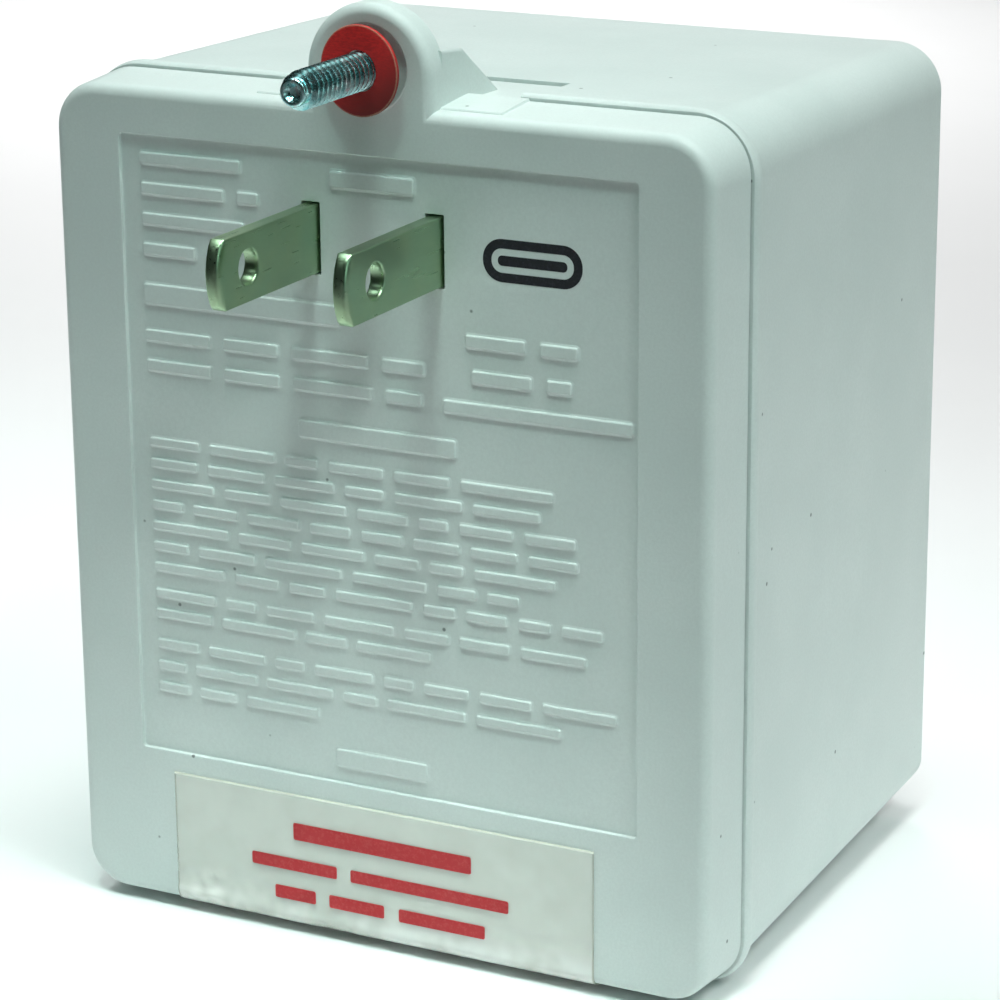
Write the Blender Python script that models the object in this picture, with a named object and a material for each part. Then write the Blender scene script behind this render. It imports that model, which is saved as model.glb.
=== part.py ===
"""A plug-in AC transformer: a moulded case of two shells with two plug blades and a captive
mounting screw, round a coil on a core of E and I sheets.

Metres, +Z up. The blades point towards -Y and the object stands on its lower edge, with the
origin below the middle of its box. Inside this file a place is given from the plug datum:
the middle of the blades, on the face that meets the wall.
"""

import math

import bmesh
import bpy
from mathutils import Matrix, Vector

MM = 0.001

# Walls and fits
FIT = 0.3 * MM
WALL = 2.2 * MM
COVER_FLOOR = 2.4 * MM
REAR_WALL = 2.4 * MM

# Plug blades
BLADE_SPACING = 12.7 * MM
BLADE_WIDTH = 6.35 * MM
BLADE_THICKNESS = 1.5 * MM
BLADE_REACH = 16.9 * MM
BLADE_TIP_CROWN = 0.9 * MM
BLADE_EDGE_BEVEL = 0.22 * MM
BLADE_HOLE_RADIUS = 1.6 * MM
BLADE_HOLE_FROM_TIP = 5.2 * MM
BLADE_SLOT_PLAY = 0.27 * MM
BLADE_SHOULDER = 1.0 * MM
BLADE_SHOULDER_LENGTH = 1.5 * MM
BLADE_TAIL = 2.6 * MM
BLADE_BOSS_WALL = 1.8 * MM
BLADE_BOSS_HEIGHT = 2.0 * MM

# Mounting screw, its ear and its washer
SCREW_ABOVE_BLADES = 16.0 * MM
SCREW_RADIUS = 1.75 * MM
SCREW_LENGTH = 15.9 * MM
SCREW_POINT_RADIUS = 1.25 * MM
SCREW_POINT_LENGTH = 0.9 * MM
SCREW_CUP_RADIUS = 0.95 * MM
SCREW_CUP_DEPTH = 0.35 * MM
SCREW_HEAD_RADIUS = 2.8 * MM
SCREW_HEAD_HEIGHT = 2.0 * MM
SCREW_HEAD_CROWN = 0.4 * MM
DRIVER_SLOT_WIDTH = 1.1 * MM
DRIVER_SLOT_DEPTH = 1.0 * MM
EAR_RADIUS = 6.4 * MM
EAR_ARCH_DROP = 0.6 * MM
EAR_THICKNESS = 2.6 * MM
EAR_RIM_RADIUS = 1.0 * MM
EAR_ROOT = 1.5 * MM
EAR_HOLE_PLAY = 0.35 * MM
EAR_RECESS_RADIUS = 3.9 * MM
EAR_RECESS_DEPTH = 0.8 * MM
CHEEK_THICKNESS = 1.2 * MM
CHEEK_SET_IN = 0.03 * MM
CHEEK_ROOT = 0.4 * MM
CHEEK_ABOVE_SCREW = 1.7 * MM
CHEEK_TOP_LENGTH = 3.6 * MM
CHEEK_TOP_FALL = 0.4 * MM
CHEEK_SLOPE_LENGTH = 6.7 * MM
WASHER_RADIUS = 4.1 * MM
WASHER_THICKNESS = 0.4 * MM
WASHER_EDGE = 0.1 * MM
WASHER_STANDOFF = 0.7 * MM
WASHER_TILT = math.radians(5)

# Core of E and I sheets: the sheets' leg sets every other size of the sheets
LEG = 9.5 * MM
STACK = 28.0 * MM
STRAP_THICKNESS = 1.2 * MM
STRAP_WIDTH = 20.0 * MM
STRAP_TAB = 6.0 * MM

# Bobbin and coils
BOBBIN_WALL = 1.0 * MM
WINDING_BUILD = 5.6 * MM
TAPE_THICKNESS = 0.4 * MM
CUTOFF_RADIUS = 1.2 * MM
CUTOFF_LENGTH = 9.0 * MM
WIRE_PIN_RADIUS = 0.4 * MM
WIRE_PIN_LENGTH = 2.5 * MM
LEAD_RADIUS = 0.8 * MM
LEAD_SPREAD = 3.0 * MM
FUSE_RADIUS = 1.15 * MM
FUSE_LENGTH = 6.0 * MM
SHEET_THICKNESS = 0.4 * MM
SHEET_SIDE_MARGIN = 2.0 * MM

# Room that the case leaves round the core
COIL_FRONT_ROOM = 3.6 * MM
COIL_REAR_ROOM = 0.7 * MM
SIDE_RIB_HEIGHT = 1.5 * MM
RIB_THICKNESS = 1.6 * MM
RIB_SPACING = 12.0 * MM
TOP_RIB_LENGTH = 6.0 * MM
POST_SIZE = 5.0 * MM
POST_INSET = 4.5 * MM
CORE_BELOW_BLADES = 4.5 * MM
CASE_ABOVE_BLADES = 12.9 * MM

# Output terminals, in a bay in the underside
TERMINAL_SPACING = 18.0 * MM
TERMINAL_FROM_REAR = 15.5 * MM
BAY_LENGTH = 20.0 * MM
BAY_WIDTH = 34.0 * MM
BAY_DEPTH = 10.0 * MM
BAY_WALL = 1.5 * MM
BAY_DIVIDER = 1.6 * MM
PLATE_WIDTH = 10.0 * MM
PLATE_THICKNESS = 0.8 * MM
PLATE_REAR = 5.3 * MM
WIRE_GROOVE_WIDTH = 0.5 * MM
WIRE_GROOVE_DEPTH = 0.25 * MM
WIRE_STRIP = 1.7 * MM
TAIL_WIDTH = 4.0 * MM
TAIL_RISE = 4.0 * MM
TERMINAL_SCREW_RADIUS = 1.75 * MM
TERMINAL_HEAD_RADIUS = 3.5 * MM
TERMINAL_HEAD_HEIGHT = 2.2 * MM
TERMINAL_HEAD_CROWN = 0.6 * MM
NUT_ACROSS_FLATS = 7.9 * MM
NUT_HEIGHT = 2.4 * MM
NUT_TO_CORE = 0.5 * MM

# Outside of the case
COVER_DEPTH = 7.1 * MM
COVER_DRAFT = 0.4 * MM
FRONT_EDGE_RADIUS = 1.1 * MM
TOP_CORNER_RADIUS = 5.0 * MM
BOTTOM_CORNER_RADIUS = 4.6 * MM
REAR_TOP_CORNER_RADIUS = 4.8 * MM
REAR_BOTTOM_CORNER_RADIUS = 3.0 * MM
SIDE_DRAFT = 0.5 * MM
TOP_DRAFT = 1.0 * MM
BOTTOM_DRAFT = 2.6 * MM
REAR_EDGE_RADIUS = 0.3 * MM
SEAM_GAP = 0.3 * MM
SPIGOT_THICKNESS = 1.1 * MM
SPIGOT_LENGTH = 2.6 * MM
BEAD_WIDTH = 1.6 * MM
BEAD_HEIGHT = 0.6 * MM
BEAD_START = math.radians(25)
TONGUE_REACH = 9.9 * MM
TONGUE_HALF_WIDTH = 11.4 * MM
TONGUE_TAPER = 0.4 * MM
TONGUE_THICKNESS = 1.8 * MM
TONGUE_SET_DOWN = 0.3 * MM

# Recessed panel and clear film on the face
PANEL_SIDE_MARGIN = 7.1 * MM
PANEL_TOP_MARGIN = 4.4 * MM
PANEL_BOTTOM_MARGIN = 15.55 * MM
PANEL_DEPTH = 0.4 * MM
FILM_WIDTH = 45.2 * MM
FILM_OFF_CENTRE = -0.3 * MM
FILM_BELOW_PANEL = 2.0 * MM
FILM_THICKNESS = 0.12 * MM
FILM_GAP = 0.05 * MM
FILM_UNDER_REACH = 5.0 * MM

# How finely round forms are drawn, and which edges count as sharp
SMOOTH_BELOW = math.radians(35)
BEVEL_ABOVE = math.radians(50)
QUARTER = math.radians(90)
CORNER_STEPS = 7
EDGE_STEPS = 3
BEAD_STEPS = 5
ARCH_STEPS = 24
ROUND_STEPS = 24
WASHER_STEPS = 32
BLADE_TIP_STEPS = 8
SMALL_STEPS = 16
LEAD_POINTS = 9

# Sizes that follow from the ones above
CORE_HALF_WIDTH = 3 * LEG
CORE_TOP = -CORE_BELOW_BLADES
E_BOTTOM = CORE_TOP - 4 * LEG
I_TOP = E_BOTTOM - FIT
CORE_BOTTOM = I_TOP - LEG
STRAP_OUTSIDE = CORE_HALF_WIDTH + FIT + STRAP_THICKNESS
STRAP_TOP = CORE_TOP + FIT + STRAP_THICKNESS
STRAP_BOTTOM = CORE_BOTTOM - FIT - STRAP_THICKNESS
COIL_HALF_DEPTH = STACK / 2 + LEG - FIT
CORE_MIDDLE = COVER_FLOOR + COIL_FRONT_ROOM + COIL_HALF_DEPTH
CORE_FRONT = CORE_MIDDLE - STACK / 2
CORE_REAR = CORE_MIDDLE + STACK / 2
CASE_DEPTH = CORE_MIDDLE + COIL_HALF_DEPTH + COIL_REAR_ROOM + REAR_WALL
CASE_HALF_WIDTH = STRAP_OUTSIDE + FIT + SIDE_RIB_HEIGHT + WALL
BAY_CEILING_TOP = STRAP_BOTTOM - NUT_TO_CORE - NUT_HEIGHT - FIT
BAY_CEILING = BAY_CEILING_TOP - BAY_WALL
CASE_BOTTOM = BAY_CEILING - BAY_DEPTH
TERMINAL_DEPTH = CASE_DEPTH - TERMINAL_FROM_REAR
COVER_REAR = COVER_DEPTH - SEAM_GAP / 2
HOUSING_FRONT = COVER_DEPTH + SEAM_GAP / 2
SPIGOT_REAR = COVER_REAR + SPIGOT_LENGTH
TONGUE_REAR = COVER_DEPTH + TONGUE_REACH
SCREW_SEAT = EAR_THICKNESS + FIT
SCREW_TIP = SCREW_SEAT - SCREW_LENGTH
EAR_ARCH_HEIGHT = SCREW_ABOVE_BLADES - EAR_ARCH_DROP
BOBBIN_TOP = CORE_TOP - LEG - FIT
BOBBIN_BOTTOM = E_BOTTOM + FIT
BOBBIN_MIDDLE = (BOBBIN_TOP + BOBBIN_BOTTOM) / 2
WASHER_REAR = -WASHER_STANDOFF - WASHER_RADIUS * math.sin(WASHER_TILT)


class Outline:
    """A rounded rectangle across the case, with its own corner radius above and below."""

    def __init__(self, half_width, top, bottom, top_radius, bottom_radius):
        self.half_width = half_width
        self.top = top
        self.bottom = bottom
        self.top_radius = top_radius
        self.bottom_radius = bottom_radius

    def grown(self, amount):
        """The same outline, moved out by an amount all round."""
        sharpest = FIT
        return Outline(
            self.half_width + amount,
            self.top + amount,
            self.bottom - amount,
            max(self.top_radius + amount, sharpest),
            max(self.bottom_radius + amount, sharpest),
        )

    def ring(self, depth):
        """The outline's points at one depth, in order round it."""
        upper = self.top - self.top_radius
        lower = self.bottom + self.bottom_radius
        corners = (
            (self.half_width - self.top_radius, upper, self.top_radius),
            (self.top_radius - self.half_width, upper, self.top_radius),
            (self.bottom_radius - self.half_width, lower, self.bottom_radius),
            (self.half_width - self.bottom_radius, lower, self.bottom_radius),
        )
        points = []
        for quarter, (x, z, radius) in enumerate(corners):
            for step in range(CORNER_STEPS + 1):
                angle = QUARTER * (quarter + step / CORNER_STEPS)
                points.append((x + radius * math.cos(angle), depth, z + radius * math.sin(angle)))
        return points


SEAM = Outline(
    CASE_HALF_WIDTH,
    CASE_ABOVE_BLADES,
    CASE_BOTTOM,
    TOP_CORNER_RADIUS,
    BOTTOM_CORNER_RADIUS,
)
RIM = SEAM.grown(-COVER_DRAFT)
REAR = Outline(
    CASE_HALF_WIDTH - SIDE_DRAFT,
    CASE_ABOVE_BLADES - TOP_DRAFT,
    CASE_BOTTOM + BOTTOM_DRAFT,
    REAR_TOP_CORNER_RADIUS,
    REAR_BOTTOM_CORNER_RADIUS,
)
SPIGOT = SEAM.grown(SPIGOT_THICKNESS - WALL)


def clear_scene():
    for old in list(bpy.data.objects):
        bpy.data.objects.remove(old, do_unlink=True)


def make_datum():
    """The plug datum, placed so that the origin lies under the middle of the object's box."""
    empty = bpy.data.objects.new("plug_datum", None)
    bpy.context.collection.objects.link(empty)
    empty.location = (0.0, (BLADE_REACH - CASE_DEPTH) / 2, BEAD_HEIGHT - CASE_BOTTOM)
    return empty


def make_material(name, color, roughness, metallic=0.0, alpha=1.0):
    material = bpy.data.materials.new(name)
    material.use_nodes = True
    shader = material.node_tree.nodes["Principled BSDF"]
    shader.inputs["Base Color"].default_value = (*color, 1.0)
    shader.inputs["Roughness"].default_value = roughness
    shader.inputs["Metallic"].default_value = metallic
    shader.inputs["Alpha"].default_value = alpha
    return material


clear_scene()
DATUM = make_datum()


def place(name, shape, material=None, smooth=False):
    """Turns a bmesh into an object on the datum. One without a material is a tool."""
    bmesh.ops.recalc_face_normals(shape, faces=shape.faces)
    mesh = bpy.data.meshes.new(name)
    shape.to_mesh(mesh)
    shape.free()
    if smooth:
        mesh.shade_smooth()
        mesh.set_sharp_from_angle(angle=SMOOTH_BELOW)
    made = bpy.data.objects.new(name, mesh)
    bpy.context.collection.objects.link(made)
    made.parent = DATUM
    if material:
        mesh.materials.append(material)
    else:
        made.hide_render = True
        made.display_type = "WIRE"
    return made


def combine(target, tool, operation):
    """A Boolean with a tool object: DIFFERENCE, UNION or INTERSECT."""
    boolean = target.modifiers.new(tool.name, "BOOLEAN")
    boolean.operation = operation
    boolean.solver = "EXACT"
    boolean.object = tool


def loft(rings):
    """A closed solid through rings of equally many points."""
    shape = bmesh.new()
    rows = [[shape.verts.new(point) for point in ring] for ring in rings]
    count = len(rows[0])
    for near, far in zip(rows, rows[1:]):
        for i in range(count):
            j = (i + 1) % count
            shape.faces.new((near[i], near[j], far[j], far[i]))
    shape.faces.new(rows[0])
    shape.faces.new(rows[-1])
    return shape


def block(x, y, z):
    """A box between two values on each axis."""
    shape = bmesh.new()
    bmesh.ops.create_cube(shape, size=1.0)
    for vert in shape.verts:
        vert.co = Vector((
            x[0] if vert.co.x < 0 else x[1],
            y[0] if vert.co.y < 0 else y[1],
            z[0] if vert.co.z < 0 else z[1],
        ))
    return shape


def prism(outline, axis, low, high):
    """An outline of two coordinates, drawn out along the third axis."""
    def point(pair, along):
        values = list(pair)
        values.insert("XYZ".index(axis), along)
        return values
    return loft([[point(pair, low) for pair in outline], [point(pair, high) for pair in outline]])


def turned(profile, axis, centre, closed=False, steps=ROUND_STEPS):
    """A turned solid from (radius, place along the axis) pairs, about an axis through a point.

    A closed profile goes round a hole; an open one starts and ends on the axis."""
    shape = bmesh.new()
    rows = []
    for radius, along in profile:
        turn = [2 * math.pi * step / steps for step in range(steps)]
        if radius == 0:
            turn = [0.0]
        rows.append([
            shape.verts.new((radius * math.cos(angle), radius * math.sin(angle), along))
            for angle in turn
        ])
    pairs = list(zip(rows, rows[1:]))
    if closed:
        pairs.append((rows[-1], rows[0]))
    for near, far in pairs:
        for i in range(steps):
            j = (i + 1) % steps
            if len(near) == 1:
                shape.faces.new((near[0], far[j], far[i]))
            elif len(far) == 1:
                shape.faces.new((near[i], near[j], far[0]))
            else:
                shape.faces.new((near[i], near[j], far[j], far[i]))
    for vert in shape.verts:
        across, up, along = vert.co
        local = {"Y": (across, along, up), "Z": (across, up, along), "X": (along, across, up)}[axis]
        vert.co = Vector(local) + Vector(centre)
    return shape


def rod(radius, low, high, axis, centre, steps=ROUND_STEPS):
    return turned([(0, low), (radius, low), (radius, high), (0, high)], axis, centre, steps=steps)


def coil_ring(inner_x, inner_y, thickness, corner, low, high):
    """A closed band round the bobbin, with rounded corners, between two heights."""
    def loop(grow, height):
        points = []
        half_x = inner_x + grow
        half_y = inner_y + grow
        radius = corner + grow
        centres = ((1, 1), (-1, 1), (-1, -1), (1, -1))
        for quarter, (side_x, side_y) in enumerate(centres):
            for step in range(EDGE_STEPS + 2):
                angle = QUARTER * (quarter + step / (EDGE_STEPS + 1))
                x = side_x * (half_x - radius) + radius * math.cos(angle)
                y = side_y * (half_y - radius) + radius * math.sin(angle)
                points.append((x, CORE_MIDDLE + y, height))
        return points

    shape = bmesh.new()
    loops = [loop(0, low), loop(thickness, low), loop(thickness, high), loop(0, high)]
    rows = [[shape.verts.new(point) for point in ring] for ring in loops]
    count = len(rows[0])
    for row in range(len(rows)):
        near = rows[row]
        far = rows[(row + 1) % len(rows)]
        for i in range(count):
            j = (i + 1) % count
            shape.faces.new((near[i], near[j], far[j], far[i]))
    return shape


def outside_at(depth):
    """The housing's outer outline at a depth behind the seam."""
    share = (depth - COVER_DEPTH) / (CASE_DEPTH - COVER_DEPTH)

    def between(a, b):
        return a + (b - a) * share

    return Outline(
        between(SEAM.half_width, REAR.half_width),
        between(SEAM.top, REAR.top),
        between(SEAM.bottom, REAR.bottom),
        between(SEAM.top_radius, REAR.top_radius),
        between(SEAM.bottom_radius, REAR.bottom_radius),
    )


# Moulded cover on the wall side
def ear_ring(inset, depth):
    """The ear's arch at one depth, on straight sides that stand in the case's top wall."""
    radius = EAR_RADIUS - inset
    root = SEAM.top - EAR_ROOT
    points = [(radius, depth, root)]
    for step in range(ARCH_STEPS + 1):
        angle = math.pi * step / ARCH_STEPS
        points.append((radius * math.cos(angle), depth, EAR_ARCH_HEIGHT + radius * math.sin(angle)))
    return points + [(-radius, depth, root)]


def ear_solid():
    rings = []
    for step in range(EDGE_STEPS + 1):
        angle = QUARTER * step / EDGE_STEPS
        inset = EAR_RIM_RADIUS * (1 - math.sin(angle))
        rings.append(ear_ring(inset, EAR_RIM_RADIUS * (1 - math.cos(angle))))
    rings.append(ear_ring(0.0, EAR_THICKNESS))
    return loft(rings)


def cheek_solid(side):
    """One of the two sloping cheeks behind the ear, beside the screw's head."""
    top = SCREW_ABOVE_BLADES + CHEEK_ABOVE_SCREW
    surface = SEAM.top - TONGUE_SET_DOWN
    foot = surface - TONGUE_THICKNESS / 2
    start = EAR_THICKNESS - CHEEK_ROOT
    top_end = EAR_THICKNESS + CHEEK_TOP_LENGTH
    slope_end = top_end + CHEEK_SLOPE_LENGTH
    profile = [
        (start, foot),
        (start, top),
        (top_end, top - CHEEK_TOP_FALL),
        (slope_end, surface),
        (slope_end, foot),
    ]
    outer = side * (EAR_RADIUS - CHEEK_SET_IN)
    inner = side * (EAR_RADIUS - CHEEK_THICKNESS)
    return prism(profile, "X", min(outer, inner), max(outer, inner))


def tongue_solid():
    """The cover's tongue, which lies in a notch in the housing's top."""
    start = COVER_DEPTH - COVER_FLOOR
    drop = SEAM.top - outside_at(TONGUE_REAR).top
    top = SEAM.top - TONGUE_SET_DOWN
    rings = []
    for depth, half, lower in ((start, TONGUE_HALF_WIDTH, 0.0),
                               (TONGUE_REAR, TONGUE_HALF_WIDTH - TONGUE_TAPER, drop)):
        high = top - lower
        low = high - TONGUE_THICKNESS
        rings.append([(half, depth, high), (-half, depth, high), (-half, depth, low), (half, depth, low)])
    return loft(rings)


def post_places():
    """Where the four posts stand that clamp the core's corners, as x and z."""
    x = CORE_HALF_WIDTH - POST_INSET
    heights = (CORE_TOP - POST_INSET, CORE_BOTTOM + POST_INSET)
    return [(side * x, z) for side in (-1, 1) for z in heights]


def post(x, z, low, high):
    half = POST_SIZE / 2
    return block((x - half, x + half), (low, high), (z - half, z + half))


def make_plug_cover(material):
    rings = []
    for step in range(EDGE_STEPS + 1):
        angle = QUARTER * step / EDGE_STEPS
        inset = FRONT_EDGE_RADIUS * (1 - math.sin(angle))
        rings.append(RIM.grown(-inset).ring(FRONT_EDGE_RADIUS * (1 - math.cos(angle))))
    rings.append(SEAM.ring(COVER_REAR))
    rings.append(SPIGOT.ring(COVER_REAR))
    rings.append(SPIGOT.ring(SPIGOT_REAR))
    cover = place("plug_cover", loft(rings), material)

    combine(cover, place("ear", ear_solid()), "UNION")
    for side in (-1, 1):
        combine(cover, place("cheek", cheek_solid(side)), "UNION")

    hollow = place("cover_hollow", loft([
        SEAM.grown(-WALL).ring(COVER_FLOOR),
        SEAM.grown(-WALL).ring(SPIGOT_REAR + WALL),
    ]))
    boss_x = BLADE_SPACING / 2
    half_width = BLADE_WIDTH / 2 + BLADE_SHOULDER + BLADE_BOSS_WALL
    half_thickness = BLADE_THICKNESS / 2 + BLADE_BOSS_WALL
    for side in (-1, 1):
        boss = block(
            (side * boss_x - half_thickness, side * boss_x + half_thickness),
            (0.0, COVER_FLOOR + BLADE_BOSS_HEIGHT),
            (-half_width, half_width),
        )
        combine(hollow, place("blade_boss", boss), "DIFFERENCE")
    combine(cover, hollow, "DIFFERENCE")
    for x, z in post_places():
        front_post = post(x, z, COVER_FLOOR / 2, CORE_FRONT - FIT)
        combine(cover, place("front_post", front_post), "UNION")
    combine(cover, place("tongue", tongue_solid()), "UNION")

    panel = block(
        (PANEL_SIDE_MARGIN - RIM.half_width, RIM.half_width - PANEL_SIDE_MARGIN),
        (-WALL, PANEL_DEPTH),
        (RIM.bottom + PANEL_BOTTOM_MARGIN, RIM.top - PANEL_TOP_MARGIN),
    )
    combine(cover, place("panel_recess", panel), "DIFFERENCE")
    slot_half_thickness = BLADE_THICKNESS / 2 + BLADE_SLOT_PLAY
    slot_half_width = BLADE_WIDTH / 2 + BLADE_SLOT_PLAY
    slot_rear = COVER_FLOOR + BLADE_BOSS_HEIGHT + WALL
    for side in (-1, 1):
        slot = block(
            (side * boss_x - slot_half_thickness, side * boss_x + slot_half_thickness),
            (-WALL, slot_rear),
            (-slot_half_width, slot_half_width),
        )
        combine(cover, place("blade_slot", slot), "DIFFERENCE")
    hole_radius = SCREW_RADIUS + EAR_HOLE_PLAY
    profile = [
        (0, -WALL),
        (EAR_RECESS_RADIUS, -WALL),
        (EAR_RECESS_RADIUS, EAR_RECESS_DEPTH),
        (hole_radius, EAR_RECESS_DEPTH),
        (hole_radius, EAR_THICKNESS + WALL),
        (0, EAR_THICKNESS + WALL),
    ]
    hole = turned(profile, "Y", (0.0, 0.0, SCREW_ABOVE_BLADES))
    combine(cover, place("screw_hole", hole), "DIFFERENCE")
    return cover


# Deep moulded housing
def housing_rings():
    rings = []
    for step in range(BEAD_STEPS + 1):
        angle = BEAD_START + (math.pi - BEAD_START) * step / BEAD_STEPS
        depth = HOUSING_FRONT + BEAD_WIDTH * (math.cos(BEAD_START) - math.cos(angle)) / 2
        rings.append(outside_at(depth).grown(BEAD_HEIGHT * math.sin(angle)).ring(depth))
    for step in range(EDGE_STEPS + 1):
        angle = QUARTER * step / EDGE_STEPS
        inset = REAR_EDGE_RADIUS * (1 - math.cos(angle))
        depth = CASE_DEPTH - REAR_EDGE_RADIUS * (1 - math.sin(angle))
        rings.append(REAR.grown(-inset).ring(depth))
    return rings


def core_rests():
    """Ribs and posts inside the housing that the core and its strap bear on."""
    shapes = []
    half = RIB_THICKNESS / 2
    reach = CASE_HALF_WIDTH + WALL
    for side in (-1, 1):
        edge = side * (STRAP_OUTSIDE + FIT)
        for offset in (-RIB_SPACING / 2, RIB_SPACING / 2):
            depth = CORE_MIDDLE + offset
            shapes.append(block(
                tuple(sorted((edge, side * reach))),
                (depth - half, depth + half),
                (CORE_BOTTOM + LEG / 2, CORE_TOP - LEG / 2),
            ))
            top_x = side * 2 * LEG
            shapes.append(block(
                (top_x - half, top_x + half),
                (depth - TOP_RIB_LENGTH / 2, depth + TOP_RIB_LENGTH / 2),
                (STRAP_TOP + FIT, CASE_ABOVE_BLADES + WALL),
            ))
        foot_x = side * (CORE_HALF_WIDTH - STRAP_TAB / 2)
        shapes.append(block(
            (foot_x - half, foot_x + half),
            (CORE_MIDDLE - STRAP_WIDTH / 2, CORE_MIDDLE + STRAP_WIDTH / 2),
            (CASE_BOTTOM - WALL, STRAP_BOTTOM - FIT),
        ))
    for x, z in post_places():
        shapes.append(post(x, z, CORE_REAR + FIT, CASE_DEPTH + WALL))
    return shapes


def make_main_housing(material):
    housing = place("main_housing", loft(housing_rings()), material)
    lip = SPIGOT.grown(FIT)
    lip_rear = SPIGOT_REAR + FIT
    floor_depth = CASE_DEPTH - REAR_WALL
    hollow = place("housing_hollow", loft([
        lip.ring(HOUSING_FRONT - WALL),
        lip.ring(lip_rear),
        outside_at(lip_rear).grown(-WALL).ring(lip_rear),
        outside_at(floor_depth).grown(-WALL).ring(floor_depth),
    ]))
    for rest in core_rests():
        combine(hollow, place("core_rest", rest), "DIFFERENCE")
    bay_half = BAY_WIDTH / 2
    bay_front = TERMINAL_DEPTH - BAY_LENGTH / 2
    bay_rear = TERMINAL_DEPTH + BAY_LENGTH / 2
    bay_body = block(
        (-bay_half - BAY_WALL, bay_half + BAY_WALL),
        (bay_front - BAY_WALL, bay_rear + BAY_WALL),
        (CASE_BOTTOM - WALL, BAY_CEILING_TOP),
    )
    combine(hollow, place("bay_body", bay_body), "DIFFERENCE")
    combine(housing, hollow, "DIFFERENCE")

    notch_half = TONGUE_HALF_WIDTH + FIT
    notch = block(
        (-notch_half, notch_half),
        (HOUSING_FRONT - WALL, TONGUE_REAR + FIT),
        (REAR.top - 2 * WALL, SEAM.top + WALL),
    )
    combine(housing, place("tongue_notch", notch), "DIFFERENCE")
    for side in (-1, 1):
        bay = block(
            tuple(sorted((side * BAY_DIVIDER / 2, side * bay_half))),
            (bay_front, bay_rear),
            (CASE_BOTTOM - WALL, BAY_CEILING),
        )
        combine(housing, place("terminal_bay", bay), "DIFFERENCE")
        x = side * TERMINAL_SPACING / 2
        hole = rod(TERMINAL_SCREW_RADIUS + FIT, BAY_CEILING - WALL, BAY_CEILING_TOP + WALL, "Z",
                   (x, TERMINAL_DEPTH, 0.0))
        combine(housing, place("terminal_hole", hole), "DIFFERENCE")
        tail_rear = TERMINAL_DEPTH + PLATE_REAR
        slot = block(
            (x - TAIL_WIDTH / 2 - FIT, x + TAIL_WIDTH / 2 + FIT),
            (tail_rear - PLATE_THICKNESS - FIT, tail_rear + FIT),
            (BAY_CEILING - WALL, BAY_CEILING_TOP + WALL),
        )
        combine(housing, place("tail_slot", slot), "DIFFERENCE")
    return housing


# Plug blades
def make_blade(name, side, material):
    half = BLADE_WIDTH / 2
    shoulder = half + BLADE_SHOULDER
    shoulder_front = COVER_FLOOR + BLADE_BOSS_HEIGHT + FIT
    shoulder_rear = shoulder_front + BLADE_SHOULDER_LENGTH
    tail_rear = shoulder_rear + BLADE_TAIL
    tip_radius = (half ** 2 + BLADE_TIP_CROWN ** 2) / (2 * BLADE_TIP_CROWN)
    tip_half_angle = math.asin(half / tip_radius)
    outline = []
    for step in range(BLADE_TIP_STEPS + 1):
        angle = tip_half_angle * (2 * step / BLADE_TIP_STEPS - 1)
        outline.append((
            tip_radius * (1 - math.cos(angle)) - BLADE_REACH,
            tip_radius * math.sin(angle),
        ))
    outline += [
        (shoulder_front, half),
        (shoulder_front, shoulder),
        (shoulder_rear, shoulder),
        (shoulder_rear, half),
        (tail_rear, half),
        (tail_rear, -half),
        (shoulder_rear, -half),
        (shoulder_rear, -shoulder),
        (shoulder_front, -shoulder),
        (shoulder_front, -half),
    ]
    middle = side * BLADE_SPACING / 2
    low = middle - BLADE_THICKNESS / 2
    high = middle + BLADE_THICKNESS / 2
    blade = place(name, prism(outline, "X", low, high), material)
    drill = rod(BLADE_HOLE_RADIUS, -BLADE_WIDTH, BLADE_WIDTH, "X",
                (middle, BLADE_HOLE_FROM_TIP - BLADE_REACH, 0.0))
    combine(blade, place("blade_drill", drill), "DIFFERENCE")
    bevel = blade.modifiers.new("edge", "BEVEL")
    bevel.width = BLADE_EDGE_BEVEL
    bevel.segments = 2
    bevel.limit_method = "ANGLE"
    bevel.angle_limit = BEVEL_ABOVE
    return tail_rear


# Mounting screw and its washer
def make_mounting_screw(material):
    head_rear = SCREW_SEAT + SCREW_HEAD_HEIGHT
    profile = [
        (0, SCREW_TIP + SCREW_CUP_DEPTH),
        (SCREW_CUP_RADIUS, SCREW_TIP),
        (SCREW_POINT_RADIUS, SCREW_TIP),
        (SCREW_POINT_RADIUS, SCREW_TIP + SCREW_POINT_LENGTH / 2),
        (SCREW_RADIUS, SCREW_TIP + SCREW_POINT_LENGTH),
        (SCREW_RADIUS, SCREW_SEAT),
        (SCREW_HEAD_RADIUS, SCREW_SEAT),
        (SCREW_HEAD_RADIUS, head_rear - SCREW_HEAD_CROWN),
        (SCREW_HEAD_RADIUS - SCREW_HEAD_CROWN, head_rear),
        (0, head_rear),
    ]
    axis_point = (0.0, 0.0, SCREW_ABOVE_BLADES)
    screw = place("mounting_screw", turned(profile, "Y", axis_point), material, smooth=True)
    slot = block(
        (-SCREW_HEAD_RADIUS * 2, SCREW_HEAD_RADIUS * 2),
        (head_rear - DRIVER_SLOT_DEPTH, head_rear + DRIVER_SLOT_DEPTH),
        (SCREW_ABOVE_BLADES - DRIVER_SLOT_WIDTH / 2, SCREW_ABOVE_BLADES + DRIVER_SLOT_WIDTH / 2),
    )
    combine(screw, place("driver_slot", slot), "DIFFERENCE")


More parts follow.
